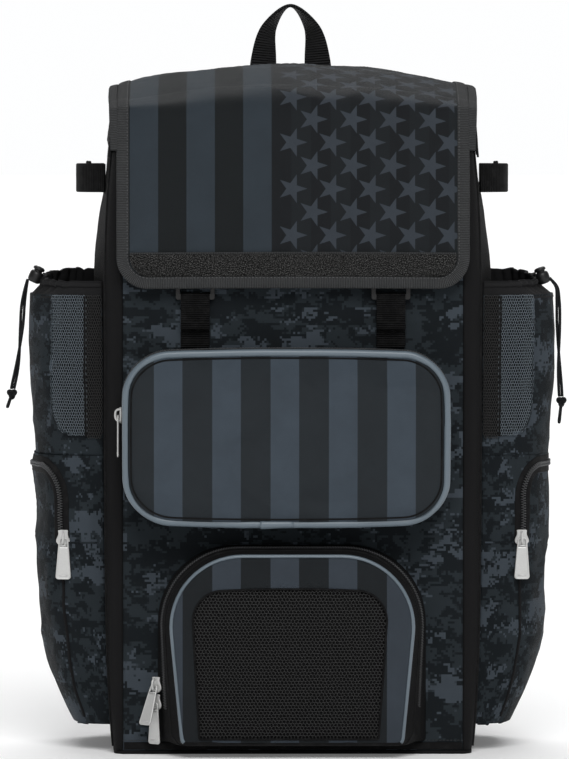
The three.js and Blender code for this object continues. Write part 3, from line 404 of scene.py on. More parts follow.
STITCH_PITCH = 3.2
STITCH = (2.2, 0.55, 0.45)  # length, width and height


def stitches_on(name, skin, u, v, lift):
    """A row of stitches along a line on the surface."""
    u, v = along_skin(skin, u, v, STITCH_PITCH)
    p, ahead, side, out = skin.frames(u, v)
    return blocks(name, p + out * lift, ahead, side, out, STITCH)


def joined(name, objects):
    """One object from several."""
    first = objects[0]
    chosen = {"selected_objects": objects, "selected_editable_objects": objects}
    with bpy.context.temp_override(active_object=first, object=first, **chosen):
        bpy.ops.object.join()
    first.name = name
    first.data.name = name
    return first


def modifier(obj, kind, **values):
    made = obj.modifiers.new(kind.title(), kind)
    for key, value in values.items():
        setattr(made, key, value)
    return made


def walled(obj, wall):
    """Gives a sheet its thickness, inwards."""
    modifier(obj, "SOLIDIFY", thickness=wall * MM, offset=-1)
    return obj


def dress(obj, finish, *nodes, body="root"):
    """A piece's finish, body and the nodes that it stands for."""
    material, slot = FINISHES[finish]
    obj.data.materials.clear()
    obj.data.materials.append(material)
    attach(obj, body)
    if nodes:
        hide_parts(*nodes)
    return obj


# Materials
class Nodes:
    """Shader nodes written as calls. A value may be a number, a colour or another node's output."""

    def __init__(self, name):
        self.material = bpy.data.materials.new(name)
        self.material.use_nodes = True
        self.tree = self.material.node_tree
        self.shader = next(n for n in self.tree.nodes if n.type == "BSDF_PRINCIPLED")
        self.uv = self.make("ShaderNodeUVMap", uv_map="cloth").outputs[0]

    def make(self, kind, inputs=(), **props):
        node = self.tree.nodes.new(kind)
        for key, value in props.items():
            setattr(node, key, value)
        for key, value in dict(inputs).items():
            self.put(node.inputs[key], value)
        return node

    def put(self, socket, value):
        if isinstance(value, bpy.types.NodeSocket):
            self.tree.links.new(value, socket)
        elif value is not None:
            if hasattr(value, "__len__") and len(value) == 3 and socket.type == "RGBA":
                value = (*value, 1)
            socket.default_value = value

    def math(self, operation, *values):
        return self.make("ShaderNodeMath", enumerate(values), operation=operation).outputs[0]

    def vector(self, operation, *values):
        return self.make("ShaderNodeVectorMath", enumerate(values), operation=operation).outputs[0]

    def split(self, vector):
        return self.make("ShaderNodeSeparateXYZ", {0: vector}).outputs[:3]

    def colour(self, factor, a, b):
        node = self.make("ShaderNodeMix", data_type="RGBA")
        self.put(node.inputs[0], factor)
        self.put(node.inputs[6], a)
        self.put(node.inputs[7], b)
        return node.outputs[2]

    def noise(self, vector, cell, detail=2.0, rough=0.5):
        """Noise from 0 to 1 whose features have a size in millimetres."""
        inputs = {"Vector": vector, "Scale": 1 / (cell * MM), "Detail": detail, "Roughness": rough}
        return self.make("ShaderNodeTexNoise", inputs).outputs[0]

    def step(self, value, low, high):
        inputs = {"Value": value, "From Min": low, "From Max": high}
        return self.make("ShaderNodeMapRange", inputs, clamp=True).outputs[0]

    def wave(self, value, pitch):
        """A rounded wave from -1 to 1 along a length in metres."""
        return self.math("SINE", self.math("MULTIPLY", value, 2 * math.pi / (pitch * MM)))

    def bump(self, height, depth, strength=1.0, normal=None):
        inputs = {"Height": height, "Distance": depth * MM, "Strength": strength}
        if normal is not None:
            inputs["Normal"] = normal
        return self.make("ShaderNodeBump", inputs).outputs[0]

    def weave(self, pitch):
        """The relief of a plain weave."""
        x, y, _ = self.split(self.uv)
        over = self.math("MULTIPLY", self.wave(x, pitch), self.wave(y, pitch))
        rows = self.math("MULTIPLY", self.wave(y, pitch / 2), 0.35)
        return self.math("ADD", over, rows)

    def finish(self, colour, rough, normal, specular, metal=0.0, sheen=0.0):
        for socket, value in (("Base Color", colour), ("Roughness", rough), ("Normal", normal),
                              ("Specular IOR Level", specular), ("Metallic", metal), ("Sheen Weight", sheen)):
            self.put(self.shader.inputs[socket], value)
        return self.material


def srgb(*levels):
    """A linear colour from levels out of 255."""
    return tuple(((v / 255 + 0.055) / 1.055) ** 2.4 if v > 10 else v / 255 / 12.92 for v in levels)


BLACK = srgb(21, 21, 22)
CAMO_DARK, CAMO_MIDDLE, CAMO_LIGHT = srgb(26, 30, 33), srgb(41, 47, 51), srgb(64, 71, 78)
# The upper pocket's print tones: partly the print's slate, partly painted light, brighter than the lower
# pocket's print of the same stripes.
UPPER_SLATE_LIT, UPPER_DARK_LIT = srgb(62, 71, 80), srgb(36, 41, 45)
LOWER_SLATE, LOWER_DARK = srgb(54, 61, 69), srgb(25, 29, 32)
LID_SLATE, LID_DARK = srgb(46, 54, 61), srgb(21, 25, 27)
FIELD, FIELD_BAND, STAR = srgb(25, 29, 32), srgb(21, 24, 27), srgb(54, 60, 67)
BINDING_GREY, PIPING_SLATE = srgb(66, 67, 68), srgb(94, 106, 115)
CLEAR_BLACK = (0, 0, 0)
LINT_GREY = (0.4, 0.42, 0.44)


def cloth_finish(n, colour, weave=0.7, relief=0.12, rough=0.5, specular=0.14):
    """Coated cloth: a fine weave under a satin coat, with faint wear and lint."""
    worn = n.noise(n.uv, 38, 4, 0.6)
    lint = n.noise(n.uv, 0.5, 2, 0.7)
    colour = n.colour(n.step(worn, 0.7, 0.3), colour, n.colour(0.16, colour, CLEAR_BLACK))
    colour = n.colour(n.step(lint, 0.64, 0.82), colour, n.colour(0.035, colour, LINT_GREY))
    height = n.math("ADD", n.weave(weave), n.math("MULTIPLY", n.noise(n.uv, 0.9, 2), 0.6))
    soft_dents = n.bump(n.noise(n.uv, 16, 3, 0.55), 0.55)
    normal = n.bump(height, relief, 0.8, soft_dents)
    return n.finish(colour, n.math("ADD", rough - 0.07, n.math("MULTIPLY", worn, 0.16)), normal, specular)


def black_cloth(name, colour):
    return cloth_finish(Nodes(name), colour, weave=0.9, relief=0.16, rough=0.7, specular=0.1)


CAMO_CELL = 1.95


def camo_cloth(name, shift):
    """Digital camouflage: three tones on small squares, in clusters of several sizes."""
    n = Nodes(name)
    moved = n.vector("ADD", n.uv, shift)
    cell = CAMO_CELL * MM
    snapped = n.vector("FLOOR", n.vector("DIVIDE", moved, (cell, cell, 1)))
    at = n.vector("MULTIPLY", snapped, (cell, cell, 0))
    wide = n.vector("MULTIPLY", at, (0.62, 1.0, 1.0))
    clusters = n.noise(wide, 38, 1.5, 0.5)
    broken = n.noise(wide, 18, 3.5, 0.9)
    other = n.noise(n.vector("ADD", wide, (0.37, 0.61, 0.0)), 22, 3.5, 0.85)
    light = n.math("ADD", n.math("MULTIPLY", clusters, 0.75), n.math("MULTIPLY", broken, 0.85))
    colour = n.colour(n.step(other, 0.5, 0.51), CAMO_DARK, CAMO_MIDDLE)
    colour = n.colour(n.step(light, 0.87, 0.875), colour, CAMO_LIGHT)
    return cloth_finish(n, colour, rough=0.62, specular=0.05)


def bars(n, x, start, pitch, wide):
    """1 on bars of a width that repeat along x, else 0. Lengths are millimetres."""
    place = n.math("FRACT", n.math("DIVIDE", n.math("SUBTRACT", x, start * MM), pitch * MM))
    return n.math("LESS_THAN", place, wide / pitch)


def striped_cloth(name, light, dark, given):
    n = Nodes(name)
    x, _, _ = n.split(n.uv)
    return cloth_finish(n, n.colour(bars(n, x, *given), dark, light))


# Bars: where the first starts, their pitch and their width
LID_BARS = (-143.4, 49.8, 24.9)
POCKET_BARS = (-121.9, 50.9, 24.9)
FIELD_BARS = (-18.9, 34.6, 17.3)
FIELD_EDGE = FIELD_BARS[0]
STAR_SIZE = 13.3
STAR_STEP = (34.6, 40.8)
STAR_START = (-0.9, 46.6)
STAR_SHIFT = 18.1  # how far the second rows of stars stand beside the first


def stars(n, x, y, start):
    """1 on five-pointed stars of a rectangular lattice, with one tip towards +X."""
    inner = 0.382 * STAR_SIZE
    notch = (inner * math.cos(math.pi / 5), inner * math.sin(math.pi / 5))
    normal = (notch[1], STAR_SIZE - notch[0])
    px, py = (
        n.math("WRAP", n.math("SUBTRACT", at, first * MM), step / 2 * MM, -step / 2 * MM)
        for at, first, step in zip((x, y), start, STAR_STEP)
    )
    angle = n.math("ARCTAN2", py, px)
    folded = n.math("ABSOLUTE", n.math("WRAP", angle, math.pi / 5, -math.pi / 5))
    reach = n.math("SQRT", n.math("ADD", n.math("MULTIPLY", px, px), n.math("MULTIPLY", py, py)))
    a = n.math("MULTIPLY", n.math("COSINE", folded), reach)
    b = n.math("MULTIPLY", n.math("SINE", folded), reach)
    side = n.math("ADD", n.math("MULTIPLY", a, normal[0]), n.math("MULTIPLY", b, normal[1]))
    return n.math("LESS_THAN", side, normal[0] * STAR_SIZE * MM)


def lid_cloth():
    n = Nodes("lid_print")
    x, y, _ = n.split(n.uv)
    striped = n.colour(bars(n, x, *LID_BARS), LID_DARK, LID_SLATE)
    field = n.colour(bars(n, x, *FIELD_BARS), FIELD, FIELD_BAND)
    second = (STAR_START[0] + STAR_SHIFT, STAR_START[1] + STAR_STEP[1] / 2)
    shown = n.math("MULTIPLY", stars(n, x, y, second), n.math("GREATER_THAN", x, 0.0))
    both = n.math("MAXIMUM", stars(n, x, y, STAR_START), shown)
    field = n.colour(both, field, STAR)
    colour = n.colour(n.math("GREATER_THAN", x, FIELD_EDGE * MM), striped, field)
    return cloth_finish(n, colour)


def ribbed(name, colour, pitch, relief, along=1):
    """Woven tape with ribs across it, with painted shade darkening the grooves between the ribs."""
    n = Nodes(name)
    parts = n.split(n.uv)
    ribs = n.wave(parts[along], pitch)
    fine = n.wave(parts[1 - along], pitch * 0.62)
    height = n.math("ADD", ribs, n.math("MULTIPLY", fine, 0.3))
    # Painted shade: the colour falls to half its brightness in the grooves between the ribs.
    shade = n.colour(n.step(ribs, -1, 0.6), n.colour(0.5, colour, CLEAR_BLACK), colour)
    worn = n.noise(n.uv, 9, 4, 0.65)
    shade = n.colour(n.step(worn, 0.45, 0.8), shade, n.colour(0.02, shade, (0.5, 0.5, 0.5)))
    return n.finish(shade, 0.7, n.bump(height, relief, 0.9), 0.12)


def fleece():
    n = Nodes("fleece")
    loops = n.noise(n.uv, 0.9, 3, 0.8)
    shade = n.colour(n.step(loops, 0.5, 0.62), srgb(9, 9, 9), srgb(104, 104, 103))
    n.shader.inputs["Sheen Roughness"].default_value = 0.45
    return n.finish(shade, 0.95, n.bump(loops, 0.9), 0.1, sheen=0.1)


def rubbery(name, colour):
    n = Nodes(name)
    grain = n.noise(n.uv, 0.7, 3, 0.6)
    shade = n.colour(n.step(grain, 0.3, 0.8), n.colour(0.12, colour, CLEAR_BLACK), colour)
    return n.finish(shade, 0.38, n.bump(grain, 0.04), 0.5)


def plain(name, colour, rough, metal=0.0, specular=0.5, grain=0.35, depth=0.02):
    """A hard finish, by place and not by cloth coordinates."""
    n = Nodes(name)
    place = n.make("ShaderNodeTexCoord").outputs["Object"]
    fine = n.noise(place, grain, 3, 0.6)
    shade = n.colour(n.step(fine, 0.25, 0.8), n.colour(0.18, colour, CLEAR_BLACK), colour)
    gloss = n.math("ADD", rough - 0.06, n.math("MULTIPLY", fine, 0.14))
    return n.finish(shade, gloss, n.bump(fine, depth), specular, metal)


# Each finish: its material and the record's slot
FINISHES = {
    "black": (black_cloth("black", BLACK), "black_fabric"),
    # The collar's cloth is the body's black made lighter, as painted light on its gathers.
    "collar": (black_cloth("collar_black_lit", srgb(34, 34, 35)), "black_fabric"),
    "camo": (camo_cloth("camo", (0.0, 0.0, 0.0)), "camo_fabric"),
    "camo_left": (camo_cloth("camo_left", (0.93, 0.21, 0.0)), "camo_fabric"),
    "camo_right": (camo_cloth("camo_right", (0.47, 0.66, 0.0)), "camo_fabric"),
    "lid": (lid_cloth(), "printed_fabric"),
    # The upper pocket's stripes are print, brightened as painted light on its full face.
    "upper": (striped_cloth("upper_stripes_lit", UPPER_SLATE_LIT, UPPER_DARK_LIT, POCKET_BARS), "printed_fabric"),
    "lower": (striped_cloth("lower_stripes", LOWER_SLATE, LOWER_DARK, POCKET_BARS), "printed_fabric"),
    "binding": (ribbed("binding", BINDING_GREY, 1.5, 0.45), "binding_tape"),
    "binding_black": (ribbed("binding_black", srgb(20, 20, 21), 1.2, 0.25), "binding_tape"),
    "thread_grey": (plain("thread_grey", srgb(92, 93, 94), 0.6), "binding_tape"),
    "webbing": (ribbed("webbing", srgb(12, 12, 13), 1.9, 0.55), "webbing"),
    "grip": (ribbed("grip", srgb(38, 38, 39), 2.3, 0.9), "webbing"),
    "tape": (ribbed("zip_tape", srgb(17, 17, 18), 0.8, 0.12), "black_fabric"),
    "piping": (rubbery("piping", PIPING_SLATE), "piping"),
    "fleece": (fleece(), "fleece"),
    "net": (plain("net", srgb(40, 40, 40), 0.5, specular=0.3), "mesh"),
    "slate_net": (plain("slate_net", srgb(90, 99, 106), 0.5, specular=0.4), "mesh"),
    "slate_lining": (plain("slate_lining", srgb(17, 20, 22), 0.8, specular=0.2, grain=1.2), "mesh"),
    "lining": (plain("lining", srgb(13, 13, 14), 0.85, specular=0.2, grain=1.2), "mesh"),
    "thread": (plain("thread", srgb(46, 47, 49), 0.6), "black_fabric"),
    "coil": (plain("coil", srgb(66, 67, 69), 0.34, specular=0.6), "plastic"),
    "metal": (plain("nickel", (0.6, 0.6, 0.59), 0.42, metal=0.4, grain=0.5), "zip_metal"),
    "plastic": (plain("plastic", srgb(19, 19, 20), 0.42, specular=0.35, grain=0.6, depth=0.015), "plastic"),
    "cord": (ribbed("cord", srgb(30, 31, 33), 1.3, 0.3, along=0), "cord"),
}
FINISHES["edge_tape"] = (FINISHES["tape"][0], "binding_tape")


# The body's surfaces
def section(z):
    """Half the body's width at its corners and in the middle of its sides, at a height."""
    up = ramp(SEAT, BODY_HEIGHT, z)
    return table(BODY_SECTIONS, 1, up) * BODY_WIDTH / 2, table(BODY_SECTIONS, 2, up) * BODY_WIDTH / 2


def side_x(y, z):
    """How far out the body's side stands, at a depth and a height."""
    edge, side = section(z)
    share = np.minimum(1, np.abs(y) / (HALF_DEPTH - BAND))
    return edge + (side - edge) * (1 - share * share)


def bulge(x, z):
    """How much of its fullness a panel has at a place, from 0 at its edges to 1."""
    up = 2 * ramp(SEAT, BODY_HEIGHT, z) - 1
    return (1 - (x / PANEL_HALF) ** 2) * (1 - up**2)


def front_plain(x, z):
    """The depth of the front panel without its dents."""
    return -HALF_DEPTH - FRONT_BULGE * bulge(x, z)


def front_at(x, z):
    edge = ramp(0, 25, PANEL_HALF - np.abs(x)) * ramp(0, 30, z - SEAT)
    dents = 0.9 * rumple(x, z, 70, 11) + 1.1 * crease(x + 0.5 * z, z, 90, 17) * ramp(330, 420, z)
    return np.stack([x, front_plain(x, z) - dents * edge, z + 0 * x], -1)


FRONT = Skin(front_at, (0, 0, 300))


def back_at(x, z):
    """The padded back: two long cushions beside a channel, over one for the waist."""
    tall = soft(12, 34, 72 - np.abs(np.abs(x) - 80))
    tall = tall * soft(0, 22, z - 150) * soft(0, 22, BODY_HEIGHT - 38 - z)
    waist = soft(0, 20, 132 - np.abs(x)) * soft(0, 18, z - 28) * soft(0, 18, 138 - z)
    swell = 7 * np.maximum(tall, waist) + 0.5 * rumple(x, z, 45, 23)
    return np.stack([x, HALF_DEPTH + BACK_BULGE * bulge(x, z) + swell, z + 0 * x], -1)


BACK = Skin(back_at, (0, 0, 300))
CORNER_SHARE = 0.086


def gusset_skin(sign, seed):
    """A side of the body: t runs from the front panel round both corners to the back, z is a height."""

    def at(t, z):
        t, z = np.broadcast_arrays(np.asarray(t, float), np.asarray(z, float))
        edge, _ = section(z)
        k = np.minimum(ramp(0, CORNER_SHARE, t), ramp(1, 1 - CORNER_SHARE, t))
        end = np.where(t < 0.5, -1.0, 1.0)
        corner_y = end * (HALF_DEPTH - BAND + BAND * np.cos(k * np.pi / 2))
        side_y = mix(-1, 1, ramp(CORNER_SHARE, 1 - CORNER_SHARE, t)) * (HALF_DEPTH - BAND)
        on_side = k >= 1
        y = np.where(on_side, side_y, corner_y)
        corner_x = PANEL_HALF + (edge - PANEL_HALF) * np.sin(k * np.pi / 2)
        x = np.where(on_side, side_x(side_y, z), corner_x)
        x = x + 1.3 * rumple(y, z, 60, seed) * ramp(CORNER_SHARE, 0.25, t) * ramp(1, 0.8, t) * ramp(0, 40, z)
        dip = GUSSET_DIP * (y / HALF_DEPTH) ** 2 * ramp(0.8 * BODY_HEIGHT, BODY_HEIGHT, z) ** 2
        return np.stack([sign * x, y, z - dip], -1)

    return Skin(at, (0, 0, 300), (0.004, 0.5))


GUSSETS = {name: gusset_skin(sign, 31 + 7 * sign) for name, sign in SIDES}
GUSSET_PLAN = 258  # length of the gusset's plan, from the front panel to the back
SEAM_LOW, SEAM_HIGH = 6.0, 560  # where the gussets' corner seams start and end


def make_body():
    x = even(-PANEL_HALF + GAP, PANEL_HALF - GAP, 4)
    z = even(SEAT, BODY_HEIGHT - GUSSET_DIP, 4)
    panel = FRONT.mesh("front_panel_cloth", x, z, pairs(x, z))
    dress(walled(panel, CLOTH_WALL), "camo", "front_panel")
    z = even(SEAT, BODY_HEIGHT, 4)
    back = BACK.mesh("back_pad", x, z)
    dress(walled(back, BACK_WALL), "black", "back_panel")
    corner = even(0, CORNER_SHARE, 0.009)
    side = even(CORNER_SHARE, 1 - CORNER_SHARE, 0.0115)[1:-1]
    t = np.concatenate([corner, side, even(1 - CORNER_SHARE, 1, 0.009)])
    for name, skin in GUSSETS.items():
        cloth = skin.mesh("gusset_cloth_" + name, t, z, pairs(t * GUSSET_PLAN, z))
        dress(walled(cloth, GUSSET_WALL), "black", "gusset_" + name)
        for label, place in (("front", CORNER_SHARE), ("rear", 1 - CORNER_SHARE)):
            heights = np.array([SEAM_LOW, SEAM_HIGH])
            seam = band_on("seam_" + label + "_" + name, skin, np.full(2, place), heights, 3.4, 1.5)
            dress(seam, "binding_black")
    make_base()


def make_base():
    y = even(-HALF_DEPTH, HALF_DEPTH, 5)
    edge = section(np.array(SEAT))[0]
    into_corner = (np.abs(y) - HALF_DEPTH + BAND) / BAND
    at_corner = PANEL_HALF + (edge - PANEL_HALF) * np.sqrt(np.maximum(0, 1 - into_corner**2))
    half = np.where(np.abs(y) > HALF_DEPTH - BAND, at_corner, side_x(y, SEAT))
    x = half[:, None] * np.linspace(-1, 1, 66)
    base = np.stack([x, y[:, None] + 0 * x, 0 * x], -1)
    floor = grid_mesh("base_cloth", base, base[..., :2], (0, 0, 50))
    dress(walled(floor, BASE_WALL), "black", "base_panel")
    u = even(-PANEL_HALF + 1, PANEL_HALF - 1, 2)
    dress(band_on("base_hem", FRONT, u, np.full(len(u), SEAT + 3.8), 6.6, 1.0), "edge_tape")
    dress(stitches_on("base_stitches", FRONT, u, np.full(len(u), SEAT + 8.6), 0.3), "thread")


# The lid
LID_LINE = spline(
    [(LID_PROFILE[0][0] * HALF_DEPTH, BODY_HEIGHT + GAP)]
    + [(deep * HALF_DEPTH, LID_CREST - drop * LID_DROP) for deep, drop in LID_PROFILE],
    40,
)
LID_S = lengths(LID_LINE)
LID_LENGTH = LID_S[-1]
CREST_SINK = 5  # how far the lid's front crest sags


def lid_at(x, length):
    """The lid: x across, and a length along its section from the back to the front edge."""
    x, length = np.broadcast_arrays(np.asarray(x, float), np.asarray(length, float))
    on_line = lambda at: [np.interp(at, LID_S, LID_LINE[:, k]) for k in (0, 1)]
    y, z = on_line(length)
    ahead_y, ahead_z = np.array(on_line(length + 1)) - np.array(on_line(length - 1))
    size = np.hypot(ahead_y, ahead_z)
    out_y, out_z = ahead_z / size, -ahead_y / size
    z = z - LID_CROWN * (x / LID_HALF) ** 2 * np.maximum(0, out_z)
    left = LID_LENGTH - length
    calm = ramp(0, 20, LID_HALF - np.abs(x)) * ramp(0, 26, left)
    dents = 1.5 * rumple(x, left, 78, 41)
    dents = dents + 1.8 * crease(x * 0.55, left + 0.4 * x, 80, 47) * ramp(60, 160, left)
    sunk = CREST_SINK * ramp(150, 190, left) ** 2 * ramp(236, 190, left)
    lift = dents * calm - sunk
    return np.stack([x, y + out_y * lift, z + out_z * lift], -1)


LID = Skin(lid_at, (0, 0, 350))


def lid_front_length(z):
    """The length along the lid's section where its side edge comes down to a height in front."""
    s = np.linspace(LID_LENGTH / 2, LID_LENGTH, 4000)
    return float(np.interp(-z, -lid_at(LID_HALF + 0 * s, s)[:, 2], s))


EAR_END = lid_front_length(LID_CREST - EAR_DROP)


def lid_half(length, inside):
    """Half the width of the lid's outline that lies so far inside its outer one."""
    radius = LID_CORNER - inside
    past = np.clip(length - (LID_LENGTH - LID_CORNER), 0, radius)
    return LID_HALF - LID_CORNER + np.sqrt(np.maximum(0, radius**2 - past**2))


def lid_edge(inside):
    """A line of parameters round the lid's two sides and front edge, so far inside."""
    corner = LID_CORNER - inside
    turn = np.linspace(0, np.pi / 2, 24)
    straight = even(0, LID_LENGTH - LID_CORNER, 2)
    x = np.append(np.full(len(straight), LID_HALF - inside), LID_HALF - LID_CORNER + corner * np.cos(turn))
    s = np.append(straight, LID_LENGTH - LID_CORNER + corner * np.sin(turn))
    return np.concatenate([-x, x[::-1]]), np.concatenate([s, s[::-1]])


def on_lid(name, s, inside, across, short=0.0, lift=None):
    """A sheet over the lid: lengths along its section, and so many points from side to side."""
    x = (lid_half(s, inside) - short)[:, None] * np.linspace(-1, 1, across)
    length = s[:, None] + 0 * x
    p = lid_at(x, length)
    if lift is not None:
        p = p + LID.out(x, length) * lift(x)[..., None]
    return grid_mesh(name, p, np.stack([x, LID_LENGTH - length], -1), LID.inside)


def make_lid():
    inner = BINDING * 0.45
    corner = LID_LENGTH - LID_CORNER
    turn = np.sin(np.linspace(0.1, np.pi / 2, 14))
    s = np.append(even(0, corner, 3), corner + (LID_CORNER - inner) * turn)
    cloth = dress(walled(on_lid("lid_cloth", s, inner, 104), LID_WALL), "lid", "lid")
    tape = binding_on("lid_edge_binding", LID, *lid_edge(BINDING / 2), BINDING, 0.6, 0.9)
    dress(tape, "binding", "lid_binding")
    row = stitches_on("lid_binding_stitches", LID, *lid_edge(BINDING - 1.6), 1.0)
    dress(row, "thread_grey")
    strip, line = make_fleece()
    make_ears()


def make_fleece():
    """The strip of loops along the lid's front edge, with a cord over its upper edge."""
    foot = LID_LENGTH - BINDING + 0.6
    top = foot - LOOP_STRIP
    s = even(top, foot, 0.7)

    def lift(x):
        fuzz = np.random.default_rng(5).uniform(0, 1, x.shape) ** 1.5
        edge = np.minimum(ramp(0, 1.2, s - top), ramp(0, 1.2, foot - s))[:, None]
        return 0.9 + 2.3 * fuzz * (0.4 + 0.6 * edge) - (1 - edge)

    strip = dress(on_lid("lid_fleece", s, BINDING - 0.4, 400, 1.0, lift), "fleece", "lid_loop_strip")
    half = float(lid_half(np.array(top), BINDING)) - 1
    u = even(-half, half, 2)
    line = band_on("lid_fleece_edge", LID, u, np.full(len(u), top - 0.2), 1.7, 1.9)
    return strip, dress(line, "binding")


BINDING_PITCH = 2.2


def binding_on(name, skin, u, v, width, proud, swell):
    """Tape folded round the lid's edge: its section is closed and rounded."""
    u, v = along_skin(skin, u, v, BINDING_PITCH)
    under = -LID_WALL
    section = [
        (-0.5, proud * 0.4), (-0.4, proud + 0.5), (-0.15, proud + swell), (0.15, proud + swell),
        (0.38, proud + 0.5), (0.5, under * 0.3), (0.5, under * 0.7), (0.38, under - proud),
        (-0.4, under - proud), (-0.5, under * 0.9),
    ]
    line = spline([*section, section[0]], 3)[:-1]
    p = skin.sweep(u, v, width, line)
    uv = pairs(np.linspace(0, 2.2 * width, len(line) + 1), lengths(skin.at(u, v)))
    return closed_grid(name, p, uv)


def closed_grid(name, p, uv=None):
    """A mesh from a wrapped grid of points, with its two open ends closed."""
    obj = grid_mesh(name, p, uv, wrap=True)
    mesh = bmesh.new()
    mesh.from_mesh(obj.data)
    mesh.verts.ensure_lookup_table()
    rows, columns = p.shape[:2]
    for row in (0, rows - 1):
        mesh.faces.new([mesh.verts[row * columns + k] for k in range(columns)]).smooth = True
    bmesh.ops.recalc_face_normals(mesh, faces=mesh.faces)
    mesh.to_mesh(obj.data)
    mesh.free()
    return obj


def make_ears():
    """The two side flaps that hang from the lid, each with its own edge binding."""
    for name, sign in SIDES:
        s = even(1, EAR_END - 1, 3)
        reach = LID_HALF + mix(1, EAR_REACH, ramp(EAR_END, EAR_END * 0.72, s))
        lid_x, lid_y, lid_z = lid_at(reach, s).T
        back = ramp(-HALF_DEPTH, HALF_DEPTH, lid_y)
        foot = np.minimum(LID_CREST - mix(EAR_DROP + 3, EAR_BACK_DROP, back), lid_z - 6)
        z = mix(lid_z[:, None] - 3.2, foot[:, None], np.linspace(0, 1, 16))
        y = lid_y[:, None] + 0 * z
        clear = side_x(y, z) + GAP + EAR_STAND
        x = np.maximum(lid_x[:, None] - 0.5, clear) + 0.7 * rumple(y, z, 30, 53 + sign)
        p = np.stack([sign * x, y, z], -1)
        flap = grid_mesh("ear_cloth_" + name, p, p[..., 1:], (0, 0, 500))
        dress(walled(flap, EAR_WALL), "black", "ear_" + name)
        middle = (LID_HALF + reach) / 2 + 0.9
        tape = binding_on("ear_tape_" + name, LID, sign * middle, s, 8.0, 0.2, 0.7)
        dress(tape, "binding", "ear_binding_" + name)


# Webbing over the front, the handle and the bat straps
def strap(name, line, across, width, wall, finish, *nodes):
    """A flat strap along a line. Across is its width's direction, one or one for each point."""
    line = np.asarray(line, float)
    across = unit(np.broadcast_to(np.asarray(across, float), line.shape))
    out = unit(np.cross(unit(np.gradient(line, axis=0)), across))
    half, h = width / 2, wall / 2
    upper = [(-half, -h * 0.4), (-half, h * 0.4), (-half + h * 0.7, h), (0, h), (half - h * 0.7, h)]
    section = upper + [(-a, -b) for a, b in upper]
    p = np.stack([line + across * a + out * b for a, b in section], 1)
    wide = lengths(np.array(section + section[:1]))
    return dress(closed_grid(name, p, pairs(wide, lengths(line))), finish, *nodes)


LID_STRAP_X = 86
LID_STRAP_FOOT = 358.8


def make_lid_straps():
    """A strap up from the upper pocket to each buckle, whose end folds over into a hem."""
    fold, foot = LID_CREST - LID_DROP - 8, LID_STRAP_FOOT
    y = front_plain(LID_STRAP_X - WEBBING / 2, foot) - GAP
    near, far = y - 0.8, y - 5.4
    turn = [
        (near, foot), (near, fold - 14), (near - 0.5, fold - 4), (near - 1.6, fold + 2.6),
        (near - 3.2, fold + 3.4), (far, fold + 0.6), (far, fold - 8), (far + 0.3, fold - 27.5),
    ]
    for name, sign in SIDES:
        x = sign * LID_STRAP_X
        line = resample(np.array([(x, a, b) for a, b in spline(turn, 8)]), 60)
        strap("lid_strap_cloth_" + name, line, (1, 0, 0), WEBBING, 1.5, "webbing", "lid_strap_" + name)
        hem = resample(np.array([(x, far + 0.1, fold - 22), (x, far + 0.1, fold - 27.8)]), 8)
        strap("lid_strap_hem_" + name, hem, (1, 0, 0), WEBBING + 0.3, 3.0, "webbing")


def make_handle():
    """A loop of webbing whose legs lie against the back and whose top turns edge on."""
    foot, top, half = BODY_HEIGHT - 39, LID_CREST + 56, 24.5
    bend = mix(foot, top, 0.617)
    y = HALF_DEPTH + BACK_BULGE * bulge(0, foot) + GAP
    leg = [(-half, y, foot), (-half, y, mix(foot, bend, 0.5)), (-half, y, bend)]
    leg.append((-half * 0.78, y, mix(bend, top, 0.6)))
    points = leg + [(0, y, top)] + [(-a, b, c) for a, b, c in leg[::-1]]
    line = resample(spline(points, 30), 150)
    t = np.linspace(0, 1, 150)
    twist = (np.pi / 2) * (ramp(0.2, 0.5, t) + ramp(0.5, 0.8, t))
    ahead = unit(np.gradient(line, axis=0))
    side = np.stack([np.cos(twist), np.sin(twist), 0 * twist], -1)
    side = unit(side - ahead * (side * ahead).sum(-1, keepdims=True))
    line[:, 1] += (WEBBING - 3) / 2 * np.sin(twist) + 1.5
    strap("handle_webbing", line, side, WEBBING, 2.8, "grip", "top_handle")


BAT_PLAN = [(0, 0), (0.1, 0.5), (0.22, 0.86), (0.38, 1), (0.6, 1), (0.78, 0.86), (0.9, 0.5), (1, 0)]


def make_bat_straps():
    """A loop of hook and loop webbing high on each side, with a shorter layer behind it."""
    middle, out, front, rear = BODY_HEIGHT - 66.7, 24, -HALF_DEPTH + 44.3, -HALF_DEPTH + 121.7
    for name, sign in SIDES:
        for label, reach, z, tall, first, last, wall, nodes in (
            ("outer", out - 1.3, middle, WEBBING, 0, 1, 2.6, ["bat_strap_" + name]),
            ("under", out * 0.62, middle + 5, 20, 0.13, 0.72, 2.2, []),
        ):
            share, away = np.array([row for row in BAT_PLAN if first <= row[0] <= last]).T
            y = mix(front, rear, share)
            x = side_x(y, z) + 2.2 + away * reach
            line = resample(spline(np.stack([sign * x, y, 0 * y + z], -1), 10), 70)
            strap("bat_strap_" + label + "_" + name, line, (0, 0, 1), tall, wall, "webbing", *nodes)


# Front pockets
POCKET_MIDDLE = -140  # depth of a point inside both front pockets


def rim_wall(name, base, front, depth, swell):
    """The side of a pocket between its outline on the body and the one at its front edge."""
    k = np.linspace(0, 1, 15)[:, None, None]
    out = unit(grown(base, 1) - base)
    p = mix(base[None], front[None], k) + out[None] * (np.sin(np.pi * k) * swell)
    y = mix(front_plain(base[:, 0], base[:, 1])[None] - GAP, depth, k[..., 0])
    p = np.stack([p[..., 0], y, p[..., 1]], -1)
    centre = (base[:, 0].mean(), POCKET_MIDDLE, base[:, 1].mean())
    return walled(grid_mesh(name, p, None, centre, wrap=True), CLOTH_WALL), p


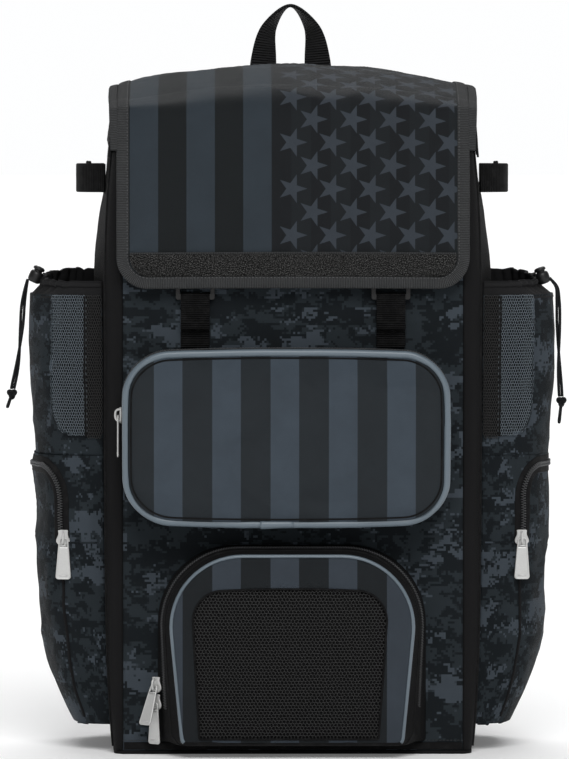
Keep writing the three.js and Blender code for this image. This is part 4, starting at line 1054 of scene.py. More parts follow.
def wall_line(p, share, centre):
    """A line round a pocket's wall at a share of its depth, with its directions: p is the wall's grid."""
    last = p.shape[0] - 1
    row = int(round(share * last))
    line = p[row]
    ahead = unit(np.roll(line, -1, 0) - np.roll(line, 1, 0))
    across = unit(p[min(last, row + 1)] - p[max(0, row - 1)])
    out = unit(np.cross(ahead, across))
    out = out * np.sign(((line - np.asarray(centre)) * out).sum(-1, keepdims=True))
    return line, ahead, across, out


TOOTH_PITCH = 2.3
TOOTH = (1.0, 2.4, 1.4)  # length along the zip, width and height


def teeth(name, line, ahead, across, out, keep):
    """The coil of a zip: two rows of small bars that meet over the middle of its tape."""
    s = lengths(line)
    at = np.arange(0, s[-1], TOOTH_PITCH)
    pick = lambda v: np.stack([np.interp(at, s, v[:, k]) for k in range(3)], -1)
    p, a, b, c = pick(line), unit(pick(ahead)), unit(pick(across)), unit(pick(out))
    mask = keep(p)
    p, a, b, c = p[mask], a[mask], b[mask], c[mask]
    apart = TOOTH[1] * 0.46
    left = blocks(name, p - b * apart + c * 1.1, a, b, c, TOOTH, 0.7)
    right = blocks(name + "_other", p + b * apart + a * TOOTH_PITCH / 2 + c * 1.1, a, b, c, TOOTH, 0.7)
    return dress(joined(name, [left, right]), "coil")


def zip_tape(name, line, across, out, width):
    """A flat band round a pocket's wall, which follows a closed line with its own directions."""
    half = [(-0.5, -0.4), (-0.5, 0.3), (-0.42, 0.5)]
    section = half + [(0, 0.7)] + [(-a, b) for a, b in half[::-1]]
    p = np.stack([line + across * a * width + out * b for a, b in section], 0)
    s = np.append(lengths(line), lengths(line)[-1] + np.linalg.norm(line[0] - line[-1]))
    uv = pairs(s, [a * width for a, _ in section])
    return dress(grid_mesh(name, p, uv, line.mean(0), wrap=True), "tape")


UPPER_LOW, UPPER_TOP = 202.4, 358.4
UPPER_X = (-PANEL_HALF + 0.4, PANEL_HALF - 13)
UPPER_DEPTH = 45
PIPING = 6
UPPER_ZIP_LOW, UPPER_ZIP_LEFT = 28, 297  # the zip's end at the right, and its slider's height at the left
# Dents in the upper pocket's face: x, height, half width, half height, depth
UPPER_DENTS = [
    (82, 338, 17, 12, 2.6), (-112, 232, 14, 24, 1.8), (-96, 336, 12, 16, 1.5),
    (112, 244, 16, 26, 1.6), (10, 226, 60, 9, 1.4),
]


def upper_box():
    half = PIPING / 2
    return UPPER_X[0] + half, UPPER_X[1] - half, UPPER_LOW + half, UPPER_TOP - half


def upper_line():
    """The pocket's outline: a rectangle with large corners and edges that bow out a little."""
    x0, x1, z0, z1 = upper_box()
    line = rounded([(x0, z0, 38), (x1, z0, 36), (x1, z1, 36), (x0, z1, 36)], 420)
    middle = np.array([(x0 + x1) / 2, (z0 + z1) / 2])
    half = np.array([(x1 - x0) / 2, (z1 - z0) / 2])
    share = np.abs(line - middle) / half
    return middle + (line - middle) * (1 - np.array([0.014, 0.05]) * share[:, ::-1] ** 2.4)


def upper_face_at(x, z):
    """The pocket's full face: it swells quickly inside its piping, with puckers and soft dents."""
    x0, x1, z0, z1 = upper_box()
    u = np.abs(x - (x0 + x1) / 2) / (x1 - x0) * 2
    v = np.abs(z - (z0 + z1) / 2) / (z1 - z0) * 2
    side = np.maximum(0, np.minimum(x - x0, x1 - x))
    level = np.maximum(0, np.minimum(z - z0, z1 - z))
    puff = 9 * (1 - np.exp(-level / 11)) * (1 - np.exp(-side / 13))
    puff = puff + 3 * np.clip(1 - u**2, 0, 1) * np.clip(1 - v**2, 0, 1)
    near = np.minimum(side, level)
    pucker = 1.1 * noise(x * 0.9 + z * 0.8, near * 0.35, 15, 61) * np.exp(-near / 12)
    dents = 0
    for a, b, wide, tall, deep in UPPER_DENTS:
        dents = dents + deep * np.exp(-(((x - a) / wide) ** 2 + ((z - b) / tall) ** 2))
    folds = 1.5 * crease(x * 0.6 + z, z * 0.5 - x * 0.3, 62, 69) * ramp(0, 18, near)
    puff = puff * (1 - 0.93 * ramp(z1 - 46, z1 - 1, z) ** 2.5)
    uneven = 1.1 * rumple(x, z, 36, 67) * ramp(0, 20, near)
    y = -HALF_DEPTH - UPPER_DEPTH - 1.0 - puff - pucker + 1.3 * dents - 1.3 * folds - uneven
    return np.stack([x, y, z + 0 * x], -1)


def rows_grid(outline, rows, columns):
    """A grid of points that fills an outline: level rows, closer together at its two ends."""
    z0, z1 = outline[:, 1].min(), outline[:, 1].max()
    z = mix(z0, z1, 0.5 - 0.5 * np.cos(np.pi * np.linspace(0.0, 1, rows)))
    z = np.clip(z, z0 + 0.02, z1 - 0.02)
    closed = np.vstack([outline, outline[:1]])
    lo, hi = [], []
    for level in z:
        a, b = closed[:-1], closed[1:]
        hit = (a[:, 1] - level) * (b[:, 1] - level) <= 0
        a, b = a[hit], b[hit]
        t = (level - a[:, 1]) / np.where(np.abs(b[:, 1] - a[:, 1]) < 1e-9, 1, b[:, 1] - a[:, 1])
        x = mix(a[:, 0], b[:, 0], np.clip(t, 0, 1))
        lo.append(x.min())
        hi.append(x.max())
    share = np.linspace(0, 1, columns)
    x = np.array(lo)[:, None] + (np.array(hi) - np.array(lo))[:, None] * share
    return x, np.repeat(z[:, None], columns, 1)


def ring_at(line, depth):
    """A line of x and height, set upright at a depth."""
    return np.stack([line[:, 0], np.full(len(line), depth), line[:, 1]], -1)


def make_upper_pocket():
    half = PIPING / 2
    x0, x1, z0, z1 = upper_box()
    line = upper_line()
    rim = -HALF_DEPTH - UPPER_DEPTH
    outer = grown(line, 1.2)
    centre = ((x0 + x1) / 2, POCKET_MIDDLE, (z0 + z1) / 2)
    wall, p = rim_wall("upper_wall_cloth", outer, outer, rim + 1.5, 1.2)
    dress(wall, "black", "upper_pocket_wall")
    tape_line, ahead, across, out = wall_line(p, 0.55, centre)
    zip_tape("upper_zip_tape", tape_line, across, out, 16)
    below_slider = lambda q: (q[:, 0] < x0 + 4) & (q[:, 2] < UPPER_ZIP_LEFT)
    zipped = lambda q: (q[:, 2] > z0 + UPPER_ZIP_LOW) & ~below_slider(q)
    teeth("upper_zip_coil", tape_line, ahead, across, out, zipped)

    x, z = line.T
    uneven = 0.25 * np.stack([rumple(x, z, 24, 71), 0 * x, rumple(z, x, 24, 73)], -1)
    piping = tube("upper_piping_cord", ring_at(line, rim) + uneven, half * 1.12, 14, True)
    dress(piping, "piping", "upper_pocket_piping")
    lap = np.array([(x, rim - 1.2, z0 + 0.3 + 0.02 * x) for x in np.linspace(-29, 0, 20)])
    radius = np.interp(np.linspace(0, 1, 20), [0, 0.05, 0.9, 1], [3.7, 3.9, 3.3, 2.6])
    dress(tube("upper_piping_lap", lap, radius, 14), "piping")
    x, z = rows_grid(grown(line, -half * 0.6), 78, 120)
    face = grid_mesh("upper_face_cloth", upper_face_at(x, z), np.stack([x, z], -1), centre)
    dress(walled(face, CLOTH_WALL), "upper", "upper_pocket_face")
    # A thin dark cord round the inside of the piping: partly the face's seam, partly painted shadow that the
    # piping casts on the face.
    seam = upper_face_at(*grown(line, -half - 1.5).T) - (0, 0.2, 0)
    dress(tube("upper_piping_shadow_seam", seam, 0.8, 8, True), "edge_tape")


LOWER_X, LOWER_LOW, LOWER_HIGH, LOWER_WIDTH, LOWER_DEPTH = -1, 11, 185, 236, 44
LOWER_PIPING = 4
LOWER_ZIP_LOW = 32
# The window's corners: x, height over the pocket's foot or under its top, radius
WINDOW = [(-82.5, 6, 2), (74.5, 6, 2), (83.5, -39, 25), (-89.5, -39, 25)]


def lower_face_at(x, z):
    """The lower pocket's face, fullest in its middle."""
    w = LOWER_WIDTH / 2
    u = np.clip(np.abs(x - LOWER_X) / (w - 4), 0, 1)
    v = np.clip(np.abs(z - (LOWER_LOW + LOWER_HIGH) / 2) / ((LOWER_HIGH - LOWER_LOW) / 2), 0, 1)
    puff = 8 * (1 - u**2.4) * (1 - v**2.4)
    y = -HALF_DEPTH - LOWER_DEPTH - 1.0 - puff - 1.0 * rumple(x, z, 38, 81)
    return np.stack([x, y, z + 0 * x], -1)


def arch(side, base, rise, top, foot, corner):
    """The lower pocket's outline: half widths at its top and foot, heights and corners."""
    x = LOWER_X
    low = [(x - base, rise, foot), (x + base, rise, foot)]
    return rounded([*low, (x + side, top, corner), (x - side, top, corner)], 420)


def net(name, outline, surface, pitch, strand, finish, *nodes):
    """A knitted net: strands round hexagonal holes, inside an outline, laid on a surface."""
    lo, hi = outline.min(0), outline.max(0)
    side = pitch / math.sqrt(3)
    rows = range(int((hi[1] - lo[1]) / side / 1.5) + 2)
    columns = range(int((hi[0] - lo[0]) / pitch) + 2)
    across = lambda i, j: lo[0] + i * pitch + (j % 2) * pitch / 2
    centres = np.array([(across(i, j), lo[1] + j * side * 1.5) for j in rows for i in columns])
    a, b = outline, np.roll(outline, -1, 0)
    x, y = centres[:, :1], centres[:, 1:]
    cross = (a[:, 1] > y) != (b[:, 1] > y)
    at = a[:, 0] + (y - a[:, 1]) * (b[:, 0] - a[:, 0]) / np.where(b[:, 1] == a[:, 1], 1e-9, b[:, 1] - a[:, 1])
    centres = centres[((cross & (x < at)).sum(1) % 2) == 1]
    angle = np.radians(30 + 60 * np.arange(6))
    corner = centres[:, None] + side * np.stack([np.cos(angle), np.sin(angle)], -1)
    keys, index = np.unique(np.round(corner.reshape(-1, 2), 2), axis=0, return_inverse=True)
    uneven = np.random.default_rng(7).uniform(-0.11, 0.11, keys.shape) * pitch
    points = surface(keys[:, 0] + uneven[:, 0], keys[:, 1] + uneven[:, 1])
    made = finish_mesh(name, points, index.reshape(-1, 6).tolist())
    modifier(made, "WIREFRAME", thickness=strand * MM, use_even_offset=False, use_boundary=True)
    return dress(made, finish, *nodes)


def make_lower_pocket():
    half = LOWER_PIPING / 2
    w = LOWER_WIDTH / 2
    base = arch(w, w, LOWER_LOW, LOWER_HIGH, 4, 68)
    line = arch(w - 6, w - 22, LOWER_LOW + half, LOWER_HIGH - 8, 5, 62)
    rim = -HALF_DEPTH - LOWER_DEPTH
    centre = (LOWER_X, POCKET_MIDDLE, (LOWER_LOW + LOWER_HIGH) / 2)
    wall, p = rim_wall("lower_wall_cloth", base, grown(line, 1.2), rim + 1.2, 1.2)
    dress(wall, "black", "lower_pocket_wall")
    tape_line, ahead, across, out = wall_line(p, 0.5, centre)
    zip_tape("lower_zip_tape", tape_line, across, out, 17)
    teeth("lower_zip_coil", tape_line, ahead, across, out, lambda q: q[:, 2] > LOWER_LOW + LOWER_ZIP_LOW)
    ring = ring_at(line, rim)
    above = line[:, 1] > LOWER_LOW + half + 0.4
    first = int(np.argmax(above))
    last = len(line) - int(np.argmax(above[::-1]))
    piping = tube("lower_piping_cord", ring[first:last], half * 0.97, 12)
    dress(piping, "piping", "lower_pocket_piping")
    foot = np.vstack([ring[last - 1 :], ring[: first + 1]])
    dress(tube("lower_foot_edge", foot, half * 0.97, 12), "binding_black")

    opening = rounded([(x, z + (LOWER_LOW if z > 0 else LOWER_HIGH), r) for x, z, r in WINDOW], 420)
    opening[:, 1] += 3 * ramp(90, 140, opening[:, 1]) * (1 - ((opening[:, 0] + 3) / 87) ** 2)
    inner = grown(line, -half * 0.5)
    q = mix(inner[None], opening[None], np.linspace(0, 1, 16)[:, None, None])
    uv = np.concatenate([q, q[:, :1]], 1)
    face = grid_mesh("lower_face_cloth", lower_face_at(q[..., 0], q[..., 1]), uv, centre, wrap=True)
    dress(walled(face, CLOTH_WALL), "lower", "lower_pocket_face")
    behind = lambda back: lambda a, b: lower_face_at(a, b) + np.array([0, back, 0])
    roll = behind(-0.3)(*opening.T)
    dress(tube("lower_window_edge", roll, 0.9, 8, True), "edge_tape")
    x, z = rows_grid(grown(opening, 2), 50, 70)
    lining = grid_mesh("lower_window_lining", behind(2.6)(x, z), np.stack([x, z], -1), centre)
    dress(lining, "lining")
    net("lower_window_net", grown(opening, 0.8), behind(0.7), 3.1, 0.85, "net", "lower_pocket_mesh")


# Side pockets
PLAN = spline(POCKET_PLAN, 16)
PLAN_AT = np.linspace(0, 1, len(PLAN))
PLAN_LENGTH = 262  # length of the side pockets' plan


def plan(u):
    """The shares out from the body and along its depth, at a share of the side pockets' plan."""
    u = np.clip(u, 0, 1)
    return np.interp(u, PLAN_AT, PLAN[:, 0]), np.interp(u, PLAN_AT, PLAN[:, 1])


def pocket_skin(sign, seed, floor, top, rise, dents):
    """A side pocket's surface: u along its plan, v a height, with its floor and its roof past its ends."""
    rows = [(floor + up * (top - floor), full) for up, full in rise]

    def at(u, v):
        u, v = np.broadcast_arrays(np.asarray(u, float), np.asarray(v, float))
        z = np.clip(v, floor, top)
        full = table(rows, 1, z)
        under = ramp(floor - POCKET_ROOM, floor - 4, v)
        over = ramp(top + POCKET_ROOM, top + 4, v)
        if floor == POCKET_FLOOR:
            z = np.maximum(z - 4 * (1 - soft(floor - 12, floor + 5, v)), floor)
        full = full * under * over
        out, along = plan(u)
        y = mix(POCKET_FRONT, POCKET_REAR, along)
        s = u * PLAN_LENGTH
        calm = ramp(0, 0.08, u) * ramp(1, 0.92, u)
        calm = calm * ramp(floor - 10, floor + 30, v) * ramp(top + 12, top - 14, v)
        push = dents * calm * (rumple(s, v, 52, seed) + 1.2 * crease(s + 0.5 * v, v, 75, seed + 9) - 0.4)
        x = side_x(y, z) + GAP + out * full * POCKET_OUT + push * out
        y = y + push * (2 * along - 1) * 0.7
        return np.stack([sign * x, y, z], -1)

    return Skin(at, (sign * 150, 0, (floor + top) / 2), (0.004, 0.5))


POCKETS, SLEEVES = {}, {}
for name, sign in SIDES:
    POCKETS[name] = pocket_skin(sign, 101 + 13 * sign, POCKET_FLOOR, SLEEVE_FLOOR, POCKET_RISE, 1.7)
    SLEEVES[name] = pocket_skin(sign, 151 + 17 * sign, SLEEVE_FLOOR + GAP, SLEEVE_TOP, SLEEVE_RISE, 1.3)
DOOR_FRONT, DOOR_REAR, DOOR_LOW, DOOR_HIGH, DOOR_CORNER = 0.209, 62, 30, 253, 33
ZIP_FRONT, ZIP_REAR = 184, 100  # heights of the side zip's two ends
CROSS_SEAM = (185, 184)  # height of the seam in front of the door, at its front and its rear
POCKET_ROOM = 45  # how far a side pocket's cloth runs past its floor and its roof


def share_at(y):
    """The share along the pocket's plan where its depth is y."""
    return np.interp((y - POCKET_FRONT) / (POCKET_REAR - POCKET_FRONT), PLAN[:, 1], PLAN_AT)


def door_line():
    """The zip's line on the side pocket, from its foot in front over its top to its foot behind."""
    front, rear, corner = DOOR_FRONT, share_at(DOOR_REAR), DOOR_CORNER / PLAN_LENGTH
    turn = np.linspace(0, np.pi / 2, 16)
    bend = DOOR_HIGH - DOOR_CORNER
    u = [
        np.full(30, front), front + corner * (1 - np.cos(turn)),
        np.linspace(front + corner, rear - corner, 20), rear - corner * (1 - np.sin(turn)), np.full(30, rear),
    ]
    z = [
        np.linspace(DOOR_LOW, bend, 30), DOOR_HIGH - DOOR_CORNER * (1 - np.sin(turn)),
        np.full(20, DOOR_HIGH), DOOR_HIGH - DOOR_CORNER * (1 - np.cos(turn)), np.linspace(bend, DOOR_LOW, 30),
    ]
    return np.concatenate(u), np.concatenate(z)


def make_side_pockets():
    for name, _ in SIDES:
        skin, sleeve, camo = POCKETS[name], SLEEVES[name], "camo_" + name
        u, v = even(0, 1, 0.011), even(POCKET_FLOOR - POCKET_ROOM, SLEEVE_FLOOR + POCKET_ROOM, 3)
        cloth = skin.mesh("side_pocket_cloth_" + name, u, v, pairs(u * PLAN_LENGTH, v))
        dress(walled(cloth, CLOTH_WALL), camo, "side_pocket_" + name, "side_pocket_door_" + name)
        a, b = door_line()
        zip_from = int(np.argmax(b > ZIP_FRONT))
        zip_to = len(b) - int(np.argmax(b[::-1] > ZIP_REAR))
        zip_u, zip_v = a[zip_from:zip_to], b[zip_from:zip_to]
        dress(band_on("side_zip_tape_" + name, skin, zip_u, zip_v, 15, 0.7), "tape")
        p, ahead, side, out = skin.frames(*along_skin(skin, zip_u, zip_v, 1.0))
        teeth("side_zip_coil_" + name, p + out * 0.5, ahead, side, out, lambda q: q[:, 2] > 0)
        low, rear = slice(zip_from + 1), slice(zip_to - 1, None)
        seams = [band_on("side_seam_low_" + name, skin, a[low], b[low], 2.6, 0.9),
                 band_on("side_seam_rear_" + name, skin, a[rear], b[rear], 2.6, 0.9)]
        dress(joined("side_seam_" + name, seams), "black")
        u = np.linspace(0.02, DOOR_FRONT - 0.01, 30)
        dress(band_on("side_front_seam_" + name, skin, u, mix(*CROSS_SEAM, u), 1.6, 0.5), camo)

        u, v = even(0, 1, 0.011), even(SLEEVE_FLOOR - POCKET_ROOM, SLEEVE_TOP, 3)
        cloth = sleeve.mesh("sleeve_cloth_" + name, u, v, pairs(u * PLAN_LENGTH, v))
        dress(walled(cloth, CLOTH_WALL), camo, "sleeve_" + name)
        make_sleeve_net(name, sleeve)
        make_collar(name)


NET_FOOT = 279
NET_FRONT, NET_MIDDLE, NET_REAR = 0.006, 0.088, -74.5  # two shares of the plan and a depth


def make_sleeve_net(name, sleeve):
    """The net at the sleeve's front: a dark strip beside the body, then a slate one with a curved foot."""
    z0, z1 = NET_FOOT, SLEEVE_TOP - 1
    lift = lambda s, z, high: sleeve.lifted(s / PLAN_LENGTH, z, high)
    rear = float(share_at(NET_REAR))
    dark = ("dark", NET_FRONT, NET_MIDDLE, 0, 3, "net", "lining", [])
    slate = ("slate", NET_MIDDLE, rear, 4, 27, "slate_net", "slate_lining", ["sleeve_mesh_" + name])
    for label, a, b, rise, corner, strands, behind, nodes in (dark, slate):
        a, b = a * PLAN_LENGTH, b * PLAN_LENGTH
        line = rounded([(a, z0, 1), (b, z0 + rise, corner), (b, z1, 1), (a, z1, 1)], 240)
        backing = lift(*rows_grid(line, 60, 24), 0.5)
        lining = grid_mesh("sleeve_net_lining_" + label + "_" + name, backing, None, sleeve.inside)
        dress(lining, behind)
        surface = lambda s, z: lift(s, z, 1.5)
        net("sleeve_net_" + label + "_" + name, line, surface, 2.9, 0.75, strands, *nodes)
    up_to = int(np.argmax(line[:, 1] >= z1 - 1.5))
    u, z = line[6:up_to, 0] / PLAN_LENGTH, line[6:up_to, 1]
    dress(band_on("sleeve_net_hem_" + name, sleeve, u, z, 3.2, 1.6), "camo_" + name)
    upright = np.full(2, NET_MIDDLE), np.array([z0, z1])
    dress(band_on("sleeve_net_seam_" + name, sleeve, *upright, 2.4, 1.9), "edge_tape")


LEANS = {"left": 12, "right": 16.5}  # how far each collar's hem leans in over the sleeve
COLLAR_GATHERS = 19


def collar_skin(name, sign):
    """The gathered collar: u along it, v from its seam to its hem, in millimetres."""

    def at(u, v):
        u, v = np.broadcast_arrays(np.asarray(u, float), np.asarray(v, float))
        high = mix(13, 20, ramp(0.3, 0.8, u))
        k = v / 13
        full = 0.93 * (1 - LEANS[name] / POCKET_OUT * np.sin(np.pi / 2 * np.clip(k, 0, 1)))
        out, along = plan(u)
        y = mix(POCKET_FRONT, POCKET_REAR, along)
        gathered = ramp(0.12, 0.35, u) * ramp(1, 0.9, u) * np.clip(k, 0, 1)
        shift = 2.6 * noise(u * 100, v * 0.4, 9, 201 + sign)
        wave = 2.3 * np.sin(2 * np.pi * COLLAR_GATHERS * u + shift) * gathered
        wave = wave + 1.8 * noise(u * 260, v * 0.5, 11, 205 + sign) * gathered
        roll = 1.2 * np.exp(-(((k - 0.84) / 0.15) ** 2)) - 0.9 * np.exp(-(((k - 0.6) / 0.12) ** 2))
        x = side_x(y, SLEEVE_TOP) + GAP + out * (full * POCKET_OUT + wave + roll)
        z = SLEEVE_TOP - 1.5 + k * high + 1.6 * gathered * noise(u * 260, 0, 7, 211 + sign)
        return np.stack([sign * x, y, z], -1)

    return Skin(at, (sign * 150, 0, 400), (0.002, 0.3))


COLLARS = {name: collar_skin(name, sign) for name, sign in SIDES}


def make_collar(name):
    skin = COLLARS[name]
    u, v = even(0, 1, 0.0042), np.linspace(-1.5, 14, 14)
    cloth = skin.mesh("collar_cloth_" + name, u, v, pairs(u * PLAN_LENGTH, v))
    cut = cut_size(skin.at(*np.meshgrid(u, v)))
    dress(walled(cloth, CLOTH_WALL), "collar", "sleeve_collar_" + name)
    u = np.linspace(0.004, 0.996, 300)
    channel = band_on("collar_channel_" + name, skin, u, np.full(300, 10.6), 3.8, 1.2, pitch=1.1)
    dress(channel, "collar")


# Cords
CORD = 2.6
LOCK_RADIUS, LOCK_HEIGHT = 6.2, 15.5
LOCK_LEAN = {"left": 24, "right": -20}  # degrees from upright, towards +X
LOCK_PROFILE = [
    (0, 0.05), (0.01, 0.55), (0.05, 0.8), (0.14, 0.96), (0.3, 1), (0.5, 1), (0.62, 0.93), (0.68, 0.8),
    (0.7, 0.62), (0.76, 0.62), (0.78, 0.78), (0.84, 0.86), (0.92, 0.82), (0.98, 0.6), (1, 0.05),
]
CORD_TURNS = 0.8  # turns that the two strands make round each other
LOCKS = {
    "left": [(7.9, -4), (9.9, -13), (12, -26), (13.5, -47), (17, -79), (21.5, -102)],
    "right": [(6.8, -2), (13, -10), (14.4, -22), (14.8, -48), (15.4, -80), (16.9, -108)],
}
TAILS = {"left": (26.5, -119), "right": (15.4, -132)}


def make_cords():
    """Two strands hang from each cord lock, and one knot holds their ends."""
    for name, sign in SIDES:
        lo, hi = (np.array(c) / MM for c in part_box("cord_lock_" + name))
        lock = (lo + hi) / 2
        knot = make_knot(name, sign, lock)
        make_lock(name, lock)
        for side, label in ((-1, "a"), (1, "b")):
            points = [(lock[0] + sign * x, lock[1], lock[2] + z) for x, z in LOCKS[name]]
            line = resample(spline(points, 24), 140)
            share = np.linspace(0, 1, 140)
            turn = 2 * np.pi * CORD_TURNS * share + np.pi * (side > 0)
            apart = CORD * (0.52 + 0.03 * np.sin(np.pi * share) ** 2)
            line = line + apart[:, None] * np.stack([np.sin(turn), np.cos(turn), 0 * turn], -1)
            made = tube("drawcord_" + label + "_" + name, line, CORD / 2, 12, up=(0, 1, 0))
            dress(made, "cord", "drawcord_" + name + "_" + label)
            length = round(float(lengths(line)[-1]) * MM, 4)


def make_lock(name, lock):
    """A round barrel with its button on top, pressed on to the cords."""
    lean = math.radians(LOCK_LEAN[name])
    share, radius = np.array(LOCK_PROFILE).T
    axis = np.array([math.sin(lean), 0, math.cos(lean)])
    line = lock + (share[:, None] - 0.5) * LOCK_HEIGHT * axis
    barrel = tube("cord_lock_barrel_" + name, line, radius * LOCK_RADIUS, 28, up=(0, 1, 0))
    dress(barrel, "plastic", "cord_lock_" + name)


def make_knot(name, sign, lock):
    """An overhand knot in the two strands, with a short tail."""
    end = lock + np.array([sign * LOCKS[name][-1][0], 0, LOCKS[name][-1][1]])
    middle = end + np.array([sign * 0.6, 0, -4.3])
    t = np.linspace(0, 2 * np.pi, 120, endpoint=False)
    trefoil = np.stack([np.sin(t) + 2 * np.sin(2 * t), np.cos(t) - 2 * np.cos(2 * t), -np.sin(3 * t)], -1)
    turns = middle + trefoil[:, [0, 2, 1]] * np.array([1.2, 1.3, 1.3])
    coil = tube("cord_knot_turns_" + name, turns, 1.4, 10, True, up=(0, 1, 0.2))
    last = lock + np.array([sign * TAILS[name][0], 0, TAILS[name][1]])
    tail_line = resample(np.array([middle, mix(middle, last, 0.6), last]), 24)
    radius = np.interp(np.linspace(0, 1, 24), [0, 0.9, 1], [1.4, 1.55, 1.0])
    tail = tube("tail", tail_line, radius, 10, up=(0, 1, 0))
    knot = joined("knot_" + name, [coil, tail])
    return dress(knot, "cord", "cord_knot_" + name)


# Shoulder straps
def make_shoulder_straps():
    top, end, x0 = BODY_HEIGHT - 28, 0.436 * BODY_HEIGHT, 0.218 * BODY_WIDTH
    out, splay, width, wall = 48, 22, 64, 12
    y = HALF_DEPTH + BACK_BULGE * bulge(x0, top) + GAP
    # The pad's line: shares of its splay, of its reach behind the back and of its way down
    shares = [(0, 0, 0), (0.1, 0.35, 0.14), (0.35, 0.85, 0.42), (0.7, 0.95, 0.72), (1, 0.78, 1)]
    pad = [(x0 + splay * a, y + out * b, mix(top, end, c)) for a, b, c in shares]
    for name, sign in SIDES:
        line = resample(spline(pad, 20), 120) * np.array([sign, 1, 1])
        ahead = unit(np.gradient(line, axis=0))
        across = unit(np.cross(ahead, (0, 1, 0)))
        outward = unit(np.cross(across, ahead))
        outward = outward * np.sign(outward[:, 1:2])
        s = lengths(line)
        angle = np.linspace(0, 2 * np.pi, 64, endpoint=False)
        c, d = np.cos(angle), np.sin(angle)
        flat = np.sign(c) * np.abs(c) ** 0.45
        thick = np.sign(d) * np.abs(d) ** 0.75
        into_end = ((np.abs(s / s[-1] - 0.5) - 0.5 + 0.045) / 0.045).clip(0, 1)
        round_end = np.sqrt(np.clip(1 - into_end**2, 0.02, 1))
        seam = np.exp(-((np.abs(flat) - 0.84) / 0.05) ** 2)
        half = width / 2 * (0.55 + 0.45 * round_end)
        tall = wall / 2 * (0.35 + 0.65 * round_end)
        lumps = 1 + 0.06 * noise(s[:, None], flat[None] * 30, 22, 221)
        high = tall[:, None] * thick[None] * (1 - 0.35 * seam[None]) * lumps
        p = line[:, None] + outward[:, None] * (wall / 2)
        p = p + across[:, None] * (half[:, None] * flat)[..., None]
        p = p + outward[:, None] * high[..., None]
        made = closed_grid("shoulder_pad_" + name, p)
        dress(made, "black", "shoulder_strap_" + name)
        rail = line[4:-3] + outward[4:-3] * (wall + 0.9)
        strap("shoulder_rail_" + name, rail, across[4:-3], WEBBING, 1.5, "webbing")
        lo, hi = (np.array(q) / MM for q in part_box("strap_adjuster_" + name))
        bar = (lo + hi) / 2
        foot = np.array([sign * 0.4 * BODY_WIDTH, 0, 0.09 * BODY_HEIGHT])
        foot_y = HALF_DEPTH + BACK_BULGE * bulge(x0, foot[2]) + GAP
        halfway = (mix(bar[0], foot[0], 0.5), mix(bar[1], foot_y, 0.55), mix(bar[2], foot[2], 0.5))
        points = [bar + (0, 0, -10), bar + (0, 0, -21.5), halfway, (foot[0], foot_y + 1.6, foot[2])]
        web = resample(spline(points, 20), 90)
        level = unit(np.cross(unit(np.gradient(web, axis=0)), (0, 1, 0)))
        strap("strap_webbing_cloth_" + name, web, level, WEBBING, 1.6, "webbing", "strap_webbing_" + name)


# Zip sliders and pulls, each built in the directions of its frame's piece
SLIDER_HALVES = [
    (-7.0, 3.6), (-6.6, 4.5), (-4.4, 4.3), (-2.2, 4.6), (-0.4, 5.4),
    (1.8, 6.2), (3.8, 6.0), (5.4, 4.7), (6.6, 2.9), (7.0, 1.6),
]
BRIDGE = [(-5.2, 2.2), (-4.9, 4.6), (-3.4, 6.2), (0, 6.6), (3.2, 6.0), (4.6, 4.4), (4.9, 2.2)]
PULL_OUTLINE = [(-7.1, 19.2, 2.8), (7.1, 19.2, 2.8), (4.2, -18.1, 3.2), (-4.2, -18.1, 3.2)]
PULLS = {
    "side_pocket_left": "pull_side_left",
    "side_pocket_right": "pull_side_right",
    "upper_pocket": "pull_upper",
    "lower_pocket_a": "pull_lower_a",
    "lower_pocket_b": "pull_lower_b",
}


def directions(node):
    """A flat piece's middle, its direction down its length, its side and its outward face."""
    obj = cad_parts[node]
    v = np.array([obj.matrix_world @ w.co for w in obj.data.vertices]) / MM
    middle = (v.min(0) + v.max(0)) / 2
    spans = np.linalg.svd(v - v.mean(0), full_matrices=False)[2]
    down = spans[0] * (-1 if spans[0][2] > 0 else 1)
    out = spans[2] * (1 if spans[2] @ (middle - (0, 0, middle[2])) > 0 else -1)
    side = np.cross(out, down)
    place = (v - middle) @ np.stack([side, down, out]).T
    middle = middle + ((place.min(0) + place.max(0)) / 2) @ np.stack([side, down, out])
    return middle, side, down, out


def make_pull(zip_name, body):
    """The pull: a tapered plate inside a raised rim, whose open top runs round the slider's bridge."""
    node = zip_name + "_pull"
    middle, side, down, out = directions(node)
    line = rounded(PULL_OUTLINE, 140)
    put = lambda q, high: middle + q[..., :1] * side + q[..., 1:2] * down + out * high
    rim = tube(node + "_rim", put(grown(line, -0.9), 0), 0.8, 10, True, up=out)
    x, y = rows_grid(grown(line, -0.8), 40, 14)
    keep = y[:, 0] > -10.5
    plate = grid_mesh(node + "_plate", put(np.stack([x[keep], y[keep]], -1), 0.0), None, middle - out * 50)
    modifier(plate, "SOLIDIFY", thickness=1.1 * MM, offset=0)
    ways = side[None], down[None], out[None]
    bar = blocks(node + "_bar", (middle + down * 15.6 + out * 0.7)[None], *ways, (7.6, 1.1, 0.7), 0.8)
    top = blocks(node + "_sill", (middle - down * 10.5)[None], *ways, (8.6, 1.2, 1.5), 0.9)
    with bpy.context.temp_override(object=plate, active_object=plate):
        bpy.ops.object.modifier_apply(modifier=plate.modifiers[0].name)
    pull = joined(node + "_dressed", [rim, plate, bar, top])
    dress(pull, "metal", node, body=body)


